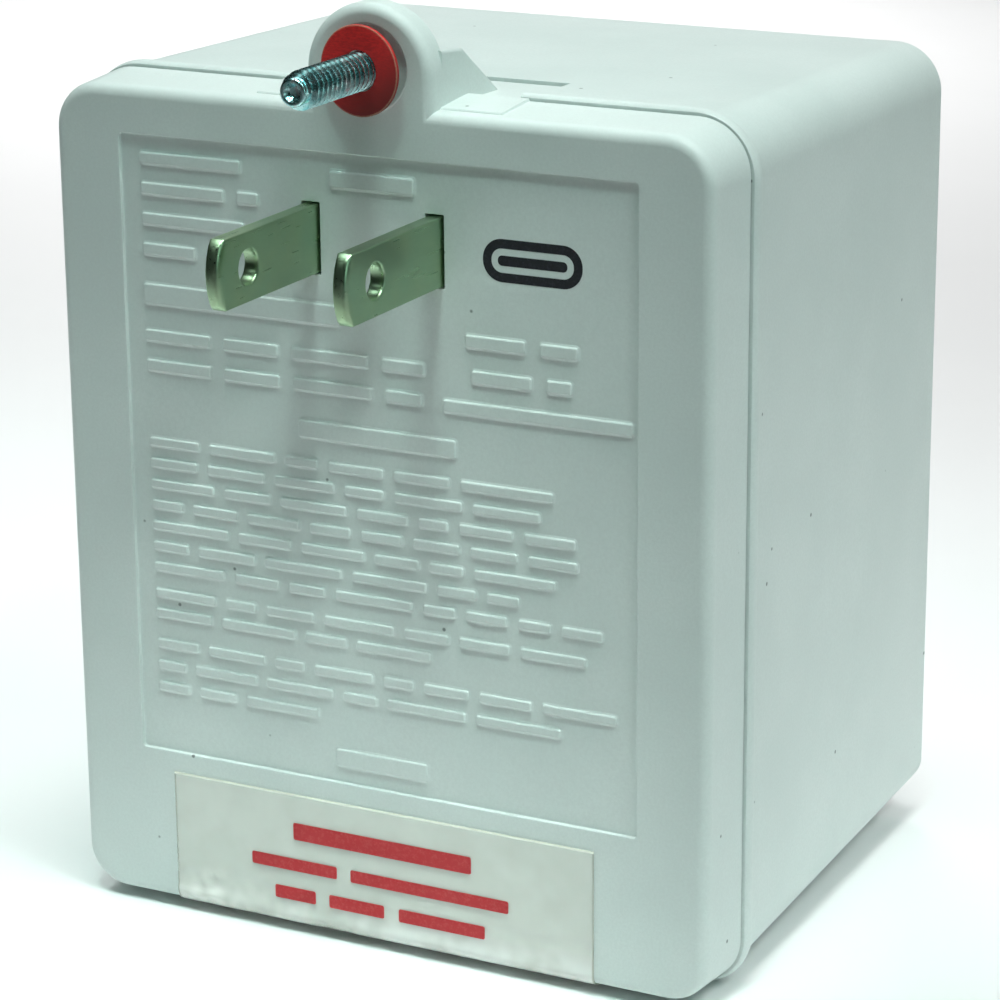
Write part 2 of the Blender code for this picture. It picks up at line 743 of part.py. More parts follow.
def make_retaining_washer(material):
    """A flat washer that leans on the screw, its left edge nearest to the ear."""
    half = WASHER_THICKNESS / 2
    hole = SCREW_RADIUS + FIT + half * math.sin(WASHER_TILT)
    profile = [
        (hole, half),
        (WASHER_RADIUS - WASHER_EDGE, half),
        (WASHER_RADIUS, half - WASHER_EDGE),
        (WASHER_RADIUS, WASHER_EDGE - half),
        (WASHER_RADIUS - WASHER_EDGE, -half),
        (hole, -half),
    ]
    shape = turned(profile, "Y", (0.0, 0.0, 0.0), closed=True, steps=WASHER_STEPS)
    bmesh.ops.rotate(shape, verts=shape.verts, matrix=Matrix.Rotation(-WASHER_TILT, 3, "Z"))
    middle = (0.0, WASHER_REAR - half, SCREW_ABOVE_BLADES)
    bmesh.ops.translate(shape, verts=shape.verts, vec=middle)
    place("retaining_washer", shape, material, smooth=True)


# Clear film on the face, folded round the lower front edge
def make_label_film(material):
    top = RIM.bottom + PANEL_BOTTOM_MARGIN - FILM_BELOW_PANEL
    fold = RIM.bottom + FRONT_EDGE_RADIUS
    end = FRONT_EDGE_RADIUS + FILM_UNDER_REACH - FILM_GAP
    slope = COVER_DRAFT / (COVER_REAR - FRONT_EDGE_RADIUS)
    fold_steps = 2 * EDGE_STEPS

    def path(offset):
        points = [(-offset, top)]
        for step in range(fold_steps + 1):
            angle = QUARTER * step / fold_steps
            radius = FRONT_EDGE_RADIUS + offset
            points.append((
                FRONT_EDGE_RADIUS - radius * math.cos(angle),
                fold - radius * math.sin(angle),
            ))
        run = end - FRONT_EDGE_RADIUS
        points.append((end, RIM.bottom - slope * run - offset))
        return points

    outline = path(FILM_GAP) + path(FILM_GAP + FILM_THICKNESS)[::-1]
    low = FILM_OFF_CENTRE - FILM_WIDTH / 2
    high = FILM_OFF_CENTRE + FILM_WIDTH / 2
    place("label_film", prism(outline, "X", low, high), material)


# Core and strap
def make_core(sheet_material, strap_material):
    inner = CORE_HALF_WIDTH - LEG
    yoke = CORE_TOP - LEG
    outline = [
        (-CORE_HALF_WIDTH, CORE_TOP),
        (CORE_HALF_WIDTH, CORE_TOP),
        (CORE_HALF_WIDTH, E_BOTTOM),
        (inner, E_BOTTOM),
        (inner, yoke),
        (LEG, yoke),
        (LEG, E_BOTTOM),
        (-LEG, E_BOTTOM),
        (-LEG, yoke),
        (-inner, yoke),
        (-inner, E_BOTTOM),
        (-CORE_HALF_WIDTH, E_BOTTOM),
    ]
    place("core_e_stack", prism(outline, "Y", CORE_FRONT, CORE_REAR), sheet_material)
    bar = block((-CORE_HALF_WIDTH, CORE_HALF_WIDTH), (CORE_FRONT, CORE_REAR), (CORE_BOTTOM, I_TOP))
    place("core_i_stack", bar, sheet_material)

    inside = STRAP_OUTSIDE - STRAP_THICKNESS
    tab_top = STRAP_BOTTOM + STRAP_THICKNESS
    tab_end = inside - STRAP_TAB
    half = [
        (tab_end, STRAP_BOTTOM),
        (STRAP_OUTSIDE, STRAP_BOTTOM),
        (STRAP_OUTSIDE, STRAP_TOP),
    ]
    inner_half = [
        (inside, STRAP_TOP - STRAP_THICKNESS),
        (inside, tab_top),
        (tab_end, tab_top),
    ]
    mirrored = [(-x, z) for x, z in half[::-1]]
    inner_mirrored = [(-x, z) for x, z in inner_half[::-1]]
    outline = half + mirrored + inner_mirrored + inner_half
    strap = prism(outline, "Y", CORE_MIDDLE - STRAP_WIDTH / 2, CORE_MIDDLE + STRAP_WIDTH / 2)
    place("core_strap", strap, strap_material)


# Bobbin, coils and what is taped to them
def make_bobbin(material):
    tube_x = LEG + FIT + BOBBIN_WALL
    tube_y = STACK / 2 + FIT + BOBBIN_WALL
    flange_x = 2 * LEG - FIT
    bobbin = place("bobbin", block(
        (-tube_x, tube_x),
        (CORE_MIDDLE - tube_y, CORE_MIDDLE + tube_y),
        (BOBBIN_BOTTOM, BOBBIN_TOP),
    ), material)
    flanges = (
        (BOBBIN_TOP - BOBBIN_WALL, BOBBIN_TOP),
        (BOBBIN_MIDDLE - BOBBIN_WALL / 2, BOBBIN_MIDDLE + BOBBIN_WALL / 2),
        (BOBBIN_BOTTOM, BOBBIN_BOTTOM + BOBBIN_WALL),
    )
    for low, high in flanges:
        flange = block(
            (-flange_x, flange_x),
            (CORE_MIDDLE - COIL_HALF_DEPTH, CORE_MIDDLE + COIL_HALF_DEPTH),
            (low, high),
        )
        combine(bobbin, place("bobbin_flange", flange), "UNION")
    bore = block(
        (-LEG - FIT, LEG + FIT),
        (CORE_FRONT - FIT, CORE_REAR + FIT),
        (BOBBIN_BOTTOM - WALL, BOBBIN_TOP + WALL),
    )
    combine(bobbin, place("bobbin_bore", bore), "DIFFERENCE")


def make_coils(primary_material, secondary_material, tape_material):
    chambers = (
        ("primary", primary_material, BOBBIN_MIDDLE + BOBBIN_WALL / 2, BOBBIN_TOP - BOBBIN_WALL),
        ("secondary", secondary_material, BOBBIN_BOTTOM + BOBBIN_WALL, BOBBIN_MIDDLE - BOBBIN_WALL / 2),
    )
    inner_x = LEG + 2 * FIT + BOBBIN_WALL
    inner_y = STACK / 2 + 2 * FIT + BOBBIN_WALL
    tape_out = WINDING_BUILD + FIT
    for name, material, low, high in chambers:
        winding = coil_ring(inner_x, inner_y, WINDING_BUILD, FIT, low + FIT, high - FIT)
        place(name + "_winding", winding, material, smooth=True)
        tape = coil_ring(inner_x + tape_out, inner_y + tape_out, TAPE_THICKNESS,
                         FIT + tape_out, low + FIT, high - FIT)
        place(name + "_tape", tape, tape_material, smooth=True)
    return CORE_MIDDLE - inner_y - tape_out - TAPE_THICKNESS


def wired_body(radius, length, pin):
    """The turned profile of a small round part with a wire at each end."""
    half = length / 2
    ends = half + pin
    return [
        (0, -ends),
        (WIRE_PIN_RADIUS, -ends),
        (WIRE_PIN_RADIUS, -half),
        (radius, -half),
        (radius, half),
        (WIRE_PIN_RADIUS, half),
        (WIRE_PIN_RADIUS, ends),
        (0, ends),
    ]


def make_thermal_cutoff(tape_front, material):
    height = (BOBBIN_TOP + BOBBIN_MIDDLE) / 2
    centre = (0.0, tape_front - FIT - CUTOFF_RADIUS, height)
    profile = wired_body(CUTOFF_RADIUS, CUTOFF_LENGTH, WIRE_PIN_LENGTH)
    shape = turned(profile, "X", centre, steps=SMALL_STEPS)
    place("thermal_cutoff", shape, material, smooth=True)


def make_lead(name, start, start_pull, end_pull, end, material):
    """An insulated wire on one smooth curve, pulled straight out at both its ends."""
    curve = bpy.data.curves.new(name, "CURVE")
    curve.dimensions = "3D"
    curve.bevel_depth = LEAD_RADIUS
    curve.bevel_resolution = 2
    curve.use_fill_caps = True
    spline = curve.splines.new("POLY")
    spline.points.add(LEAD_POINTS - 1)
    for index, point in enumerate(spline.points):
        t = index / (LEAD_POINTS - 1)
        place_at = (
            Vector(start) * (1 - t) ** 3
            + Vector(start_pull) * 3 * t * (1 - t) ** 2
            + Vector(end_pull) * 3 * t ** 2 * (1 - t)
            + Vector(end) * t ** 3
        )
        point.co = (*place_at, 1.0)
    lead = bpy.data.objects.new(name, curve)
    bpy.context.collection.objects.link(lead)
    lead.parent = DATUM
    curve.materials.append(material)


def make_insulating_sheet(material):
    front = COVER_FLOOR + FIT
    side = CORE_HALF_WIDTH - POST_INSET - POST_SIZE / 2 - SHEET_SIDE_MARGIN
    top = -BLADE_WIDTH / 2 - BLADE_SHOULDER - BLADE_BOSS_WALL - SHEET_SIDE_MARGIN
    bottom = BOBBIN_BOTTOM - SHEET_SIDE_MARGIN
    sheet = block((-side, side), (front, front + SHEET_THICKNESS), (bottom, top))
    place("insulating_sheet", sheet, material)


# Output terminals
def make_terminal(side_name, side, screw_material, plate_material):
    x = side * TERMINAL_SPACING / 2
    plate_top = BAY_CEILING - FIT
    plate_bottom = plate_top - PLATE_THICKNESS
    rear = TERMINAL_DEPTH + PLATE_REAR
    groove_rear = TERMINAL_DEPTH - TERMINAL_HEAD_RADIUS - FIT
    groove_front = groove_rear - WIRE_GROOVE_WIDTH
    tail_top = BAY_CEILING_TOP + TAIL_RISE
    plate = place("terminal_plate_" + side_name, block(
        (x - PLATE_WIDTH / 2 + FIT, x + PLATE_WIDTH / 2 - FIT),
        (groove_front - WIRE_STRIP, rear),
        (plate_bottom, plate_top),
    ), plate_material)
    groove = block(
        (x - PLATE_WIDTH, x + PLATE_WIDTH),
        (groove_front, groove_rear),
        (plate_bottom - WIRE_GROOVE_DEPTH, plate_bottom + WIRE_GROOVE_DEPTH),
    )
    combine(plate, place("wire_groove", groove), "DIFFERENCE")
    tail = block(
        (x - TAIL_WIDTH / 2, x + TAIL_WIDTH / 2),
        (rear - PLATE_THICKNESS, rear),
        ((plate_bottom + plate_top) / 2, tail_top),
    )
    combine(plate, place("plate_tail", tail), "UNION")
    axis_point = (x, TERMINAL_DEPTH, 0.0)
    drill = rod(TERMINAL_SCREW_RADIUS + FIT, plate_bottom - WALL, plate_top + WALL, "Z",
                axis_point, steps=SMALL_STEPS)
    combine(plate, place("plate_drill", drill), "DIFFERENCE")

    seat = plate_bottom - FIT
    head_low = seat - TERMINAL_HEAD_HEIGHT
    nut_low = BAY_CEILING_TOP + FIT
    nut_high = nut_low + NUT_HEIGHT
    profile = [
        (0, nut_high),
        (TERMINAL_SCREW_RADIUS, nut_high),
        (TERMINAL_SCREW_RADIUS, seat),
        (TERMINAL_HEAD_RADIUS, seat),
        (TERMINAL_HEAD_RADIUS, head_low + TERMINAL_HEAD_CROWN),
        (TERMINAL_HEAD_RADIUS - TERMINAL_HEAD_CROWN, head_low),
        (0, head_low),
    ]
    screw = place("terminal_screw_" + side_name, turned(profile, "Z", axis_point),
                  screw_material, smooth=True)
    slot = block(
        (x - DRIVER_SLOT_WIDTH / 2, x + DRIVER_SLOT_WIDTH / 2),
        (TERMINAL_DEPTH - TERMINAL_HEAD_RADIUS * 2, TERMINAL_DEPTH + TERMINAL_HEAD_RADIUS * 2),
        (head_low - DRIVER_SLOT_DEPTH, head_low + DRIVER_SLOT_DEPTH),
    )
    combine(screw, place("terminal_slot", slot), "DIFFERENCE")

    corner = NUT_ACROSS_FLATS / math.sqrt(3)
    hexagon = []
    for step in range(6):
        angle = 2 * math.pi * step / 6
        hexagon.append((x + corner * math.cos(angle), TERMINAL_DEPTH + corner * math.sin(angle)))
    nut = place("terminal_nut_" + side_name, prism(hexagon, "Z", nut_low, nut_high), screw_material)
    tapped = rod(TERMINAL_SCREW_RADIUS + FIT, nut_low - WALL, nut_high + WALL, "Z",
                 axis_point, steps=SMALL_STEPS)
    combine(nut, place("nut_hole", tapped), "DIFFERENCE")
    return (x, rear - PLATE_THICKNESS / 2, tail_top)


def make_output_leads(tails, lead_material, fuse_material):
    """The insulated lead to the right terminal and the fuse in line with the left one."""
    left, right = tails
    high = BOBBIN_BOTTOM - FIT
    low = left[2] + FIT
    middle = (left[0], left[1], (high + low) / 2)
    pin = (high - low - FUSE_LENGTH) / 2
    profile = wired_body(FUSE_RADIUS, FUSE_LENGTH, pin)
    fuse = turned(profile, "Z", middle, steps=SMALL_STEPS)
    place("secondary_fuse", fuse, fuse_material, smooth=True)
    third = (high - low) / 3
    x, y = right[:2]
    make_lead("secondary_lead", (x, y + LEAD_RADIUS, high), (x, y + LEAD_SPREAD, high - third),
              (x, y + LEAD_SPREAD, low + third), (x, y, low), lead_material)


def make_primary_leads(tail_rear, material):
    """From the end of each blade's tail down to the bobbin's upper flange."""
    drop = (BOBBIN_TOP + FIT) / 2
    start = tail_rear + FIT
    for name, side in (("primary_lead_left", -1), ("primary_lead_right", 1)):
        x = side * BLADE_SPACING / 2
        end_x = x + side * LEAD_SPREAD
        make_lead(name, (x, start, 0.0), (x, start + LEAD_SPREAD, 0.0),
                  (end_x, start, drop), (end_x, start, BOBBIN_TOP + FIT), material)


def build():
    light_plastic = make_material("case_plastic", (0.72, 0.76, 0.74), 0.45)
    nickel = make_material("blade_nickel", (0.55, 0.55, 0.46), 0.28, metallic=1.0)
    zinc = make_material("screw_zinc", (0.55, 0.63, 0.64), 0.25, metallic=1.0)
    red_fibre = make_material("red_fibre", (0.45, 0.03, 0.03), 0.6)
    film = make_material("clear_film", (0.86, 0.87, 0.80), 0.15, alpha=0.35)
    core_steel = make_material("core_steel", (0.25, 0.25, 0.27), 0.5, metallic=1.0)
    strap_steel = make_material("strap_steel", (0.5, 0.5, 0.5), 0.4, metallic=1.0)
    bobbin_plastic = make_material("bobbin_nylon", (0.8, 0.8, 0.75), 0.5)
    copper = make_material("enamelled_copper", (0.55, 0.2, 0.08), 0.35, metallic=1.0)
    tape = make_material("coil_tape", (0.8, 0.65, 0.12), 0.4)
    dark_plastic = make_material("component_body", (0.12, 0.12, 0.12), 0.5)
    black_lead = make_material("lead_black", (0.03, 0.03, 0.03), 0.5)
    fish_paper = make_material("fish_paper", (0.35, 0.38, 0.3), 0.8)
    brass = make_material("terminal_brass", (0.7, 0.55, 0.28), 0.35, metallic=1.0)

    make_plug_cover(light_plastic)
    make_main_housing(light_plastic)
    tail_rear = make_blade("blade_left", -1, nickel)
    make_blade("blade_right", 1, nickel)
    make_mounting_screw(zinc)
    make_retaining_washer(red_fibre)
    make_label_film(film)
    make_core(core_steel, strap_steel)
    make_bobbin(bobbin_plastic)
    tape_front = make_coils(copper, copper, tape)
    make_thermal_cutoff(tape_front, dark_plastic)
    make_primary_leads(tail_rear, black_lead)
    make_insulating_sheet(fish_paper)
    tails = [
        make_terminal("left", -1, zinc, brass),
        make_terminal("right", 1, zinc, brass),
    ]
    make_output_leads(tails, black_lead, dark_plastic)


build()
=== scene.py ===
"""The looks of a plug-in AC transformer: its moulded case, plug blades, captive screw and film.

Metres, +Z up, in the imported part's own frame. A place is given from the plug datum: the middle
of the blades, on the face that meets the wall, with x to the right, y into the case and z up.
"""

import math
import random

import bmesh
import bpy
from mathutils import Matrix, Vector


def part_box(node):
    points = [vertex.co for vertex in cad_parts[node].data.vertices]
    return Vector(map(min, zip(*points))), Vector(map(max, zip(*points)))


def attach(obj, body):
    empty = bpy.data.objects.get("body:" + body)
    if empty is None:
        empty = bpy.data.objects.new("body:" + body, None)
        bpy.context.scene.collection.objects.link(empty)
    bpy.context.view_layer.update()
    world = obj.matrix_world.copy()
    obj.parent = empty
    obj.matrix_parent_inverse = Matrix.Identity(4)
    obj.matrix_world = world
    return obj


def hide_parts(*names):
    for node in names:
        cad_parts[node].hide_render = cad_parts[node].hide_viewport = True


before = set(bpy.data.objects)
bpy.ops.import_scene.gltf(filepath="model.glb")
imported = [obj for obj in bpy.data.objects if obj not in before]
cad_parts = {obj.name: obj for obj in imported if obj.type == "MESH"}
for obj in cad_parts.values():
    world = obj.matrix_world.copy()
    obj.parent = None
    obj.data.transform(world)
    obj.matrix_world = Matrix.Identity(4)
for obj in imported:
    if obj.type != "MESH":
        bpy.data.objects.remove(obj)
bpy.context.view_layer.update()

MM = 0.001
QUARTER = math.radians(90)
SIDES = (-1, 1)

# The plug datum and the main sizes, from the frame
COVER_LOW, COVER_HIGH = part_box("plug_cover")
HOUSING_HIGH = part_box("main_housing")[1]
BLADE_LOW, BLADE_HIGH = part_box("blade_right")
SCREW_LOW, SCREW_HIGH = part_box("mounting_screw")
WASHER_LOW, WASHER_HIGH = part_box("retaining_washer")
FILM_LOW, FILM_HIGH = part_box("label_film")
TERMINAL_LOW, TERMINAL_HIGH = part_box("terminal_screw_right")
STRAP_LOW, STRAP_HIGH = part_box("core_strap")
CORE_LOW, CORE_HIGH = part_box("core_e_stack")
SHEET_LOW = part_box("core_i_stack")[0]
DATUM = Vector((0.0, COVER_LOW.y, (BLADE_LOW.z + BLADE_HIGH.z) / 2))

FIT = 0.3 * MM
WALL = 2.2 * MM
COVER_FLOOR = 2.4 * MM
REAR_WALL = 2.4 * MM

# Outside of the case
CASE_TOP = 12.9 * MM
CASE_HALF_WIDTH = COVER_HIGH.x
CASE_BOTTOM = COVER_LOW.z - DATUM.z
CASE_DEPTH = HOUSING_HIGH.y - DATUM.y
COVER_DRAFT = 0.4 * MM
FRONT_EDGE_RADIUS = 1.1 * MM
COVER_REAR = 7.02 * MM
HOUSING_FRONT = 7.16 * MM
SEAM_EDGE_RADIUS = 0.12 * MM
SIDE_DRAFT = 0.5 * MM
TOP_DRAFT = 1.0 * MM
BOTTOM_DRAFT = 2.6 * MM
REAR_EDGE_RADIUS = 0.3 * MM
TOP_CORNER_RADIUS = 5.0 * MM
BOTTOM_CORNER_RADIUS = 4.6 * MM
REAR_TOP_CORNER_RADIUS = 4.8 * MM
REAR_BOTTOM_CORNER_RADIUS = 3.0 * MM
SHARPEST_CORNER = 0.02 * MM
SPIGOT_THICKNESS = 1.1 * MM
SPIGOT_LENGTH = 2.6 * MM
SPIGOT_REAR = COVER_REAR + SPIGOT_LENGTH
LIP_GAP = 0.15 * MM
BEAD_WIDTH = 1.7 * MM
BEAD_HEIGHT = 0.6 * MM
BEAD_START = math.radians(25)
BEAD_CORNER_EASE = 2.3

# Panel and slots on the face
PANEL_SIDE_MARGIN = 7.1 * MM
PANEL_TOP_MARGIN = 4.4 * MM
PANEL_BOTTOM_MARGIN = 15.55 * MM
PANEL_DEPTH = 0.4 * MM
PANEL_EDGE_RADIUS = 0.12 * MM
PANEL_CORNER_RADIUS = 0.35 * MM
BLADE_SLOT_PLAY = 0.19 * MM
SLOT_CORNER_RADIUS = 0.1 * MM
SLOT_EDGE_RADIUS = 0.08 * MM
BLADE_BOSS_WALL = 1.8 * MM
BLADE_BOSS_HEIGHT = 2.0 * MM
BLADE_SHOULDER = 1.0 * MM
BLADE_SHOULDER_LENGTH = 1.5 * MM
BLADE_TIP_CROWN = 0.9 * MM
BLADE_TIP_CORNER = 0.45 * MM
BLADE_TIP_BEVEL_WIDTH = 0.85 * MM
BLADE_TIP_BEVEL_DEPTH = 0.42 * MM
BLADE_EDGE_WIDTH = 0.16 * MM
BLADE_TIP_STEPS = 24
BLADE_HOLE_RADIUS = 1.6 * MM
BLADE_HOLE_FROM_TIP = 5.2 * MM
BLADE_HOLE_FLARE = 0.22 * MM
BLADE_HOLE_STEPS = 40

# Ear, its cheeks and the tongue behind it
EAR_RADIUS = 6.4 * MM
EAR_ARCH_DROP = 0.6 * MM
EAR_THICKNESS = 2.6 * MM
EAR_RIM_RADIUS = 1.0 * MM
EAR_ROOT = 1.5 * MM
EAR_HOLE_RADIUS = 2.1 * MM
EAR_RECESS_RADIUS = 3.9 * MM
EAR_RECESS_DEPTH = 0.8 * MM
EAR_RECESS_EDGE = 0.25 * MM
CHEEK_THICKNESS = 1.2 * MM
CHEEK_SET_IN = 0.03 * MM
CHEEK_ROOT = 0.4 * MM
CHEEK_ABOVE_SCREW = 1.7 * MM
CHEEK_TOP_LENGTH = 3.6 * MM
CHEEK_TOP_FALL = 0.4 * MM
CHEEK_SLOPE_LENGTH = 6.7 * MM
CHEEK_EDGE_RADIUS = 0.3 * MM
TONGUE_REAR = 17.0 * MM
TONGUE_HALF_WIDTH = 11.4 * MM
TONGUE_TAPER = 0.4 * MM
TONGUE_THICKNESS = 1.8 * MM
TONGUE_SET_DOWN = 0.3 * MM
TONGUE_GAP = 0.2 * MM
TONGUE_EDGE = 0.15 * MM
PAD_HALF_WIDTH = 12.6 * MM
PAD_FRONT = 1.75 * MM
PAD_RISE = 0.12 * MM

# Mounting screw and washer
SCREW_RADIUS = 1.75 * MM
SCREW_ROOT_RADIUS = 1.28 * MM
SCREW_PITCH = 0.794 * MM
THREAD_RUN_OUT_TURNS = 0.8
THREAD_END_SHARE = 0.04
THREAD_STEPS = 48
THREAD_SUNK = 0.12 * MM
THREAD_FOOT_SHARE = 0.98
THREAD_CREST_SHARE = 0.22
SCREW_SEAT = 2.9 * MM
SCREW_POINT_LENGTH = 0.9 * MM
SCREW_POINT_EDGE = 0.25 * MM
SCREW_CUP_RADIUS = 0.85 * MM
SCREW_CUP_DEPTH = 0.55 * MM
SCREW_CUP_LIP = 0.03 * MM
SCREW_CUP_SHARES = ((0.0, 1.0), (0.55, 0.9), (0.9, 0.35))
SCREW_HEAD_CROWN = 0.4 * MM
SCREW_CROWN_SHARE = 0.3
DRIVER_SLOT_WIDTH = 1.1 * MM
DRIVER_SLOT_DEPTH = 1.0 * MM
WASHER_RADIUS = 4.1 * MM
WASHER_THICKNESS = 0.4 * MM
WASHER_EDGE = 0.1 * MM
WASHER_HOLE_RADIUS = 1.86 * MM
WASHER_TILT = math.radians(5)
WASHER_STEPS = 120
WASHER_UNEVENNESS = 0.0025
WASHER_SEED = 4
WASHER_RUBBED = 0.2 * MM

# Terminal bays and what holds the core
BAY_LENGTH = 20.0 * MM
BAY_WIDTH = 34.0 * MM
BAY_DEPTH = 10.0 * MM
BAY_WALL = 1.5 * MM
BAY_DIVIDER = 1.6 * MM
TAIL_HALF_WIDTH = 2.3 * MM
TAIL_SLOT_FRONT = 4.2 * MM
TAIL_SLOT_REAR = 5.6 * MM
TERMINAL_HOLE_RADIUS = 2.05 * MM
TERMINAL_HOLE_STEPS = 24
RIB_THICKNESS = 1.6 * MM
RIB_SPACING = 12.0 * MM
TOP_RIB_LENGTH = 6.0 * MM
STRAP_TAB = 6.0 * MM
POST_SIZE = 5.0 * MM
POST_INSET = 4.5 * MM

# Clear film
FILM_THICKNESS = 0.12 * MM
FILM_GAP = 0.05 * MM
FILM_COLUMNS = 150
FILM_FACE_ROWS = 44
FILM_FOLD_ROWS = 12
FILM_UNDER_ROWS = 8
# Widths of the painted shade along the film's sides and of the painted highlight along its top edge
FILM_SIDE_SHADE = (0.1 * MM, 0.2 * MM)
FILM_TOP_HIGHLIGHT = (0.14 * MM, 0.26 * MM)

# How finely round forms are drawn, and which edges stay sharp
CORNER_STEPS = 14
EDGE_STEPS = 7
FEW_STEPS = 4
SEAM_EDGE_STEPS = 3
POINT_EDGE_STEPS = 5
BAR_EDGE_STEPS = 3
BEAD_STEPS = 14
ARCH_STEPS = 72
ROUND_STEPS = 64
SHARP_ABOVE = math.radians(32)
NEVER_SHARP = math.radians(180)
FLAT_TURN = math.radians(0.3)
SAME_PLACE = 0.0005 * MM
BLADE_FLAT_AREA = 2.0 * MM * MM


def operator(operation, reflected=False):
    """A method of Value that adds the Math node of one of Python's operators."""

    def method(value, other):
        pair = (other, value) if reflected else (value, other)
        return value.graph.math(operation, *pair)

    return method


class Value:
    """A socket of a node graph. Python's operators on it add Math nodes."""

    def __init__(self, graph, socket):
        self.graph = graph
        self.socket = socket

    def other(self, name):
        """Another output of the same node."""
        return Value(self.graph, shown_socket(self.socket.node.outputs, name))

    __add__ = operator("ADD")
    __radd__ = operator("ADD", reflected=True)
    __sub__ = operator("SUBTRACT")
    __rsub__ = operator("SUBTRACT", reflected=True)
    __mul__ = operator("MULTIPLY")
    __rmul__ = operator("MULTIPLY", reflected=True)
    __truediv__ = operator("DIVIDE")
    __rtruediv__ = operator("DIVIDE", reflected=True)
    __gt__ = operator("GREATER_THAN")
    __lt__ = operator("LESS_THAN")


def shown_socket(sockets, name):
    """The socket of that name that the node's settings leave in use."""
    return next(socket for socket in sockets if socket.name == name and socket.enabled)


class Graph:
    """A node tree that is being built, of a material or of geometry."""

    def __init__(self, tree):
        self.tree = tree

    def add(self, kind, values=None, output=0, stops=None, **settings):
        """Adds a node: its settings first, then the values or links of its sockets."""
        node = self.tree.nodes.new(kind)
        for name, setting in settings.items():
            setattr(node, name, setting)
        if stops:
            ramp = node.color_ramp
            while len(ramp.elements) < len(stops):
                ramp.elements.new(1.0)
            for element, (position, color) in zip(ramp.elements, stops):
                element.position = position
                element.color = (*color, 1.0)
        for key, value in (values or {}).items():
            socket = node.inputs[key] if isinstance(key, int) else shown_socket(node.inputs, key)
            if isinstance(value, Value):
                self.tree.links.new(value.socket, socket)
            else:
                socket.default_value = value
        if not node.outputs:
            return None
        if isinstance(output, str):
            return Value(self, shown_socket(node.outputs, output))
        return Value(self, node.outputs[output])

    def math(self, operation, *values):
        return self.add("ShaderNodeMath", dict(enumerate(values)), operation=operation)

    def vector(self, operation, values):
        return self.add("ShaderNodeVectorMath", values, operation=operation)

    def smooth(self, value, low, high):
        """0 below low and 1 above high, with a soft step between them."""
        ends = {"Value": value, "From Min": low, "From Max": high}
        return self.add("ShaderNodeMapRange", ends, interpolation_type="SMOOTHSTEP")


class Finish(Graph):
    """A procedural material. Its patterns lie on Object coordinates, in metres."""

    def __init__(self, name, roughness, metallic=0.0):
        self.material = bpy.data.materials.new(name)
        self.material.use_nodes = True
        super().__init__(self.material.node_tree)
        self.shader = self.tree.nodes["Principled BSDF"]
        self.shader.inputs["Roughness"].default_value = roughness
        self.shader.inputs["Metallic"].default_value = metallic
        self.place = self.add("ShaderNodeTexCoord", output="Object")

    def split(self, place=None):
        """The x, y and z of a place, or of the surface's own place."""
        parts = self.add("ShaderNodeSeparateXYZ", {0: place or self.place})
        return parts, parts.other("Y"), parts.other("Z")

    def mapped(self, centre=(0, 0, 0), turn=(0, 0, 0), scale=(1, 1, 1)):
        """Object coordinates about a centre, turned and stretched."""
        shifted = self.vector("SUBTRACT", {0: self.place, 1: centre})
        values = {"Vector": shifted, "Rotation": turn, "Scale": scale}
        return self.add("ShaderNodeMapping", values)

    def noise(self, size, detail=2.0, rough=0.5, place=None, warp=0.0):
        """Soft noise from 0 to 1 whose lumps are about one size across."""
        values = {
            "Vector": place or self.place,
            "Scale": 1.0 / size,
            "Detail": detail,
            "Roughness": rough,
            "Distortion": warp,
        }
        return self.add("ShaderNodeTexNoise", values)

    def mix(self, share, first, second):
        """Two colours mixed. Share is the second one's part."""
        values = {"Factor": share, "A": color_of(first), "B": color_of(second)}
        return self.add("ShaderNodeMix", values, output="Result", data_type="RGBA")

    def feed(self, **inputs):
        """Links what varies to the shader's sockets."""
        for name, value in inputs.items():
            self.tree.links.new(value.socket, self.shader.inputs[name.replace("_", " ").title()])

    def bump(self, height, depth, strength=1.0, before=None):
        """Gives the surface relief, with a depth in metres. Returns the normal."""
        values = {"Height": height, "Distance": depth, "Strength": strength}
        if before:
            values["Normal"] = before
        return self.add("ShaderNodeBump", values)


def color_of(color):
    return color if isinstance(color, Value) else (*color, 1.0)


# Meshes
def show(name, data):
    """Puts a mesh, a lamp or a camera into the scene."""
    made = bpy.data.objects.new(name, data)
    bpy.context.scene.collection.objects.link(made)
    return made


def discard(made):
    """Takes an object and its mesh out of the file."""
    mesh = made.data
    bpy.data.objects.remove(made)
    bpy.data.meshes.remove(mesh)


def mesh_from(name, shape):
    """A bmesh as a plain mesh."""
    mesh = bpy.data.meshes.new(name)
    shape.to_mesh(mesh)
    shape.free()
    return mesh


def put_on_datum(name, shape):
    """Turns a bmesh, drawn from the plug datum, into an object in the part's frame."""
    bmesh.ops.recalc_face_normals(shape, faces=shape.faces)
    bmesh.ops.translate(shape, verts=shape.verts, vec=DATUM)
    return show(name, mesh_from(name, shape))


def carve(target, operation, tools):
    """Adds or takes away a list of tools, and leaves one plain mesh."""
    for tool in tools:
        boolean = target.modifiers.new("carve", "BOOLEAN")
        boolean.operation = operation
        boolean.solver = "EXACT"
        boolean.object = tool
    bake_modifiers(target)
    for tool in tools:
        discard(tool)
    return target


def bake_modifiers(made):
    """Replaces an object's mesh with what its modifiers give, and drops them."""
    evaluated = made.evaluated_get(bpy.context.evaluated_depsgraph_get())
    mesh = bpy.data.meshes.new_from_object(evaluated)
    made.modifiers.clear()
    old = made.data
    made.data = mesh
    bpy.data.meshes.remove(old)


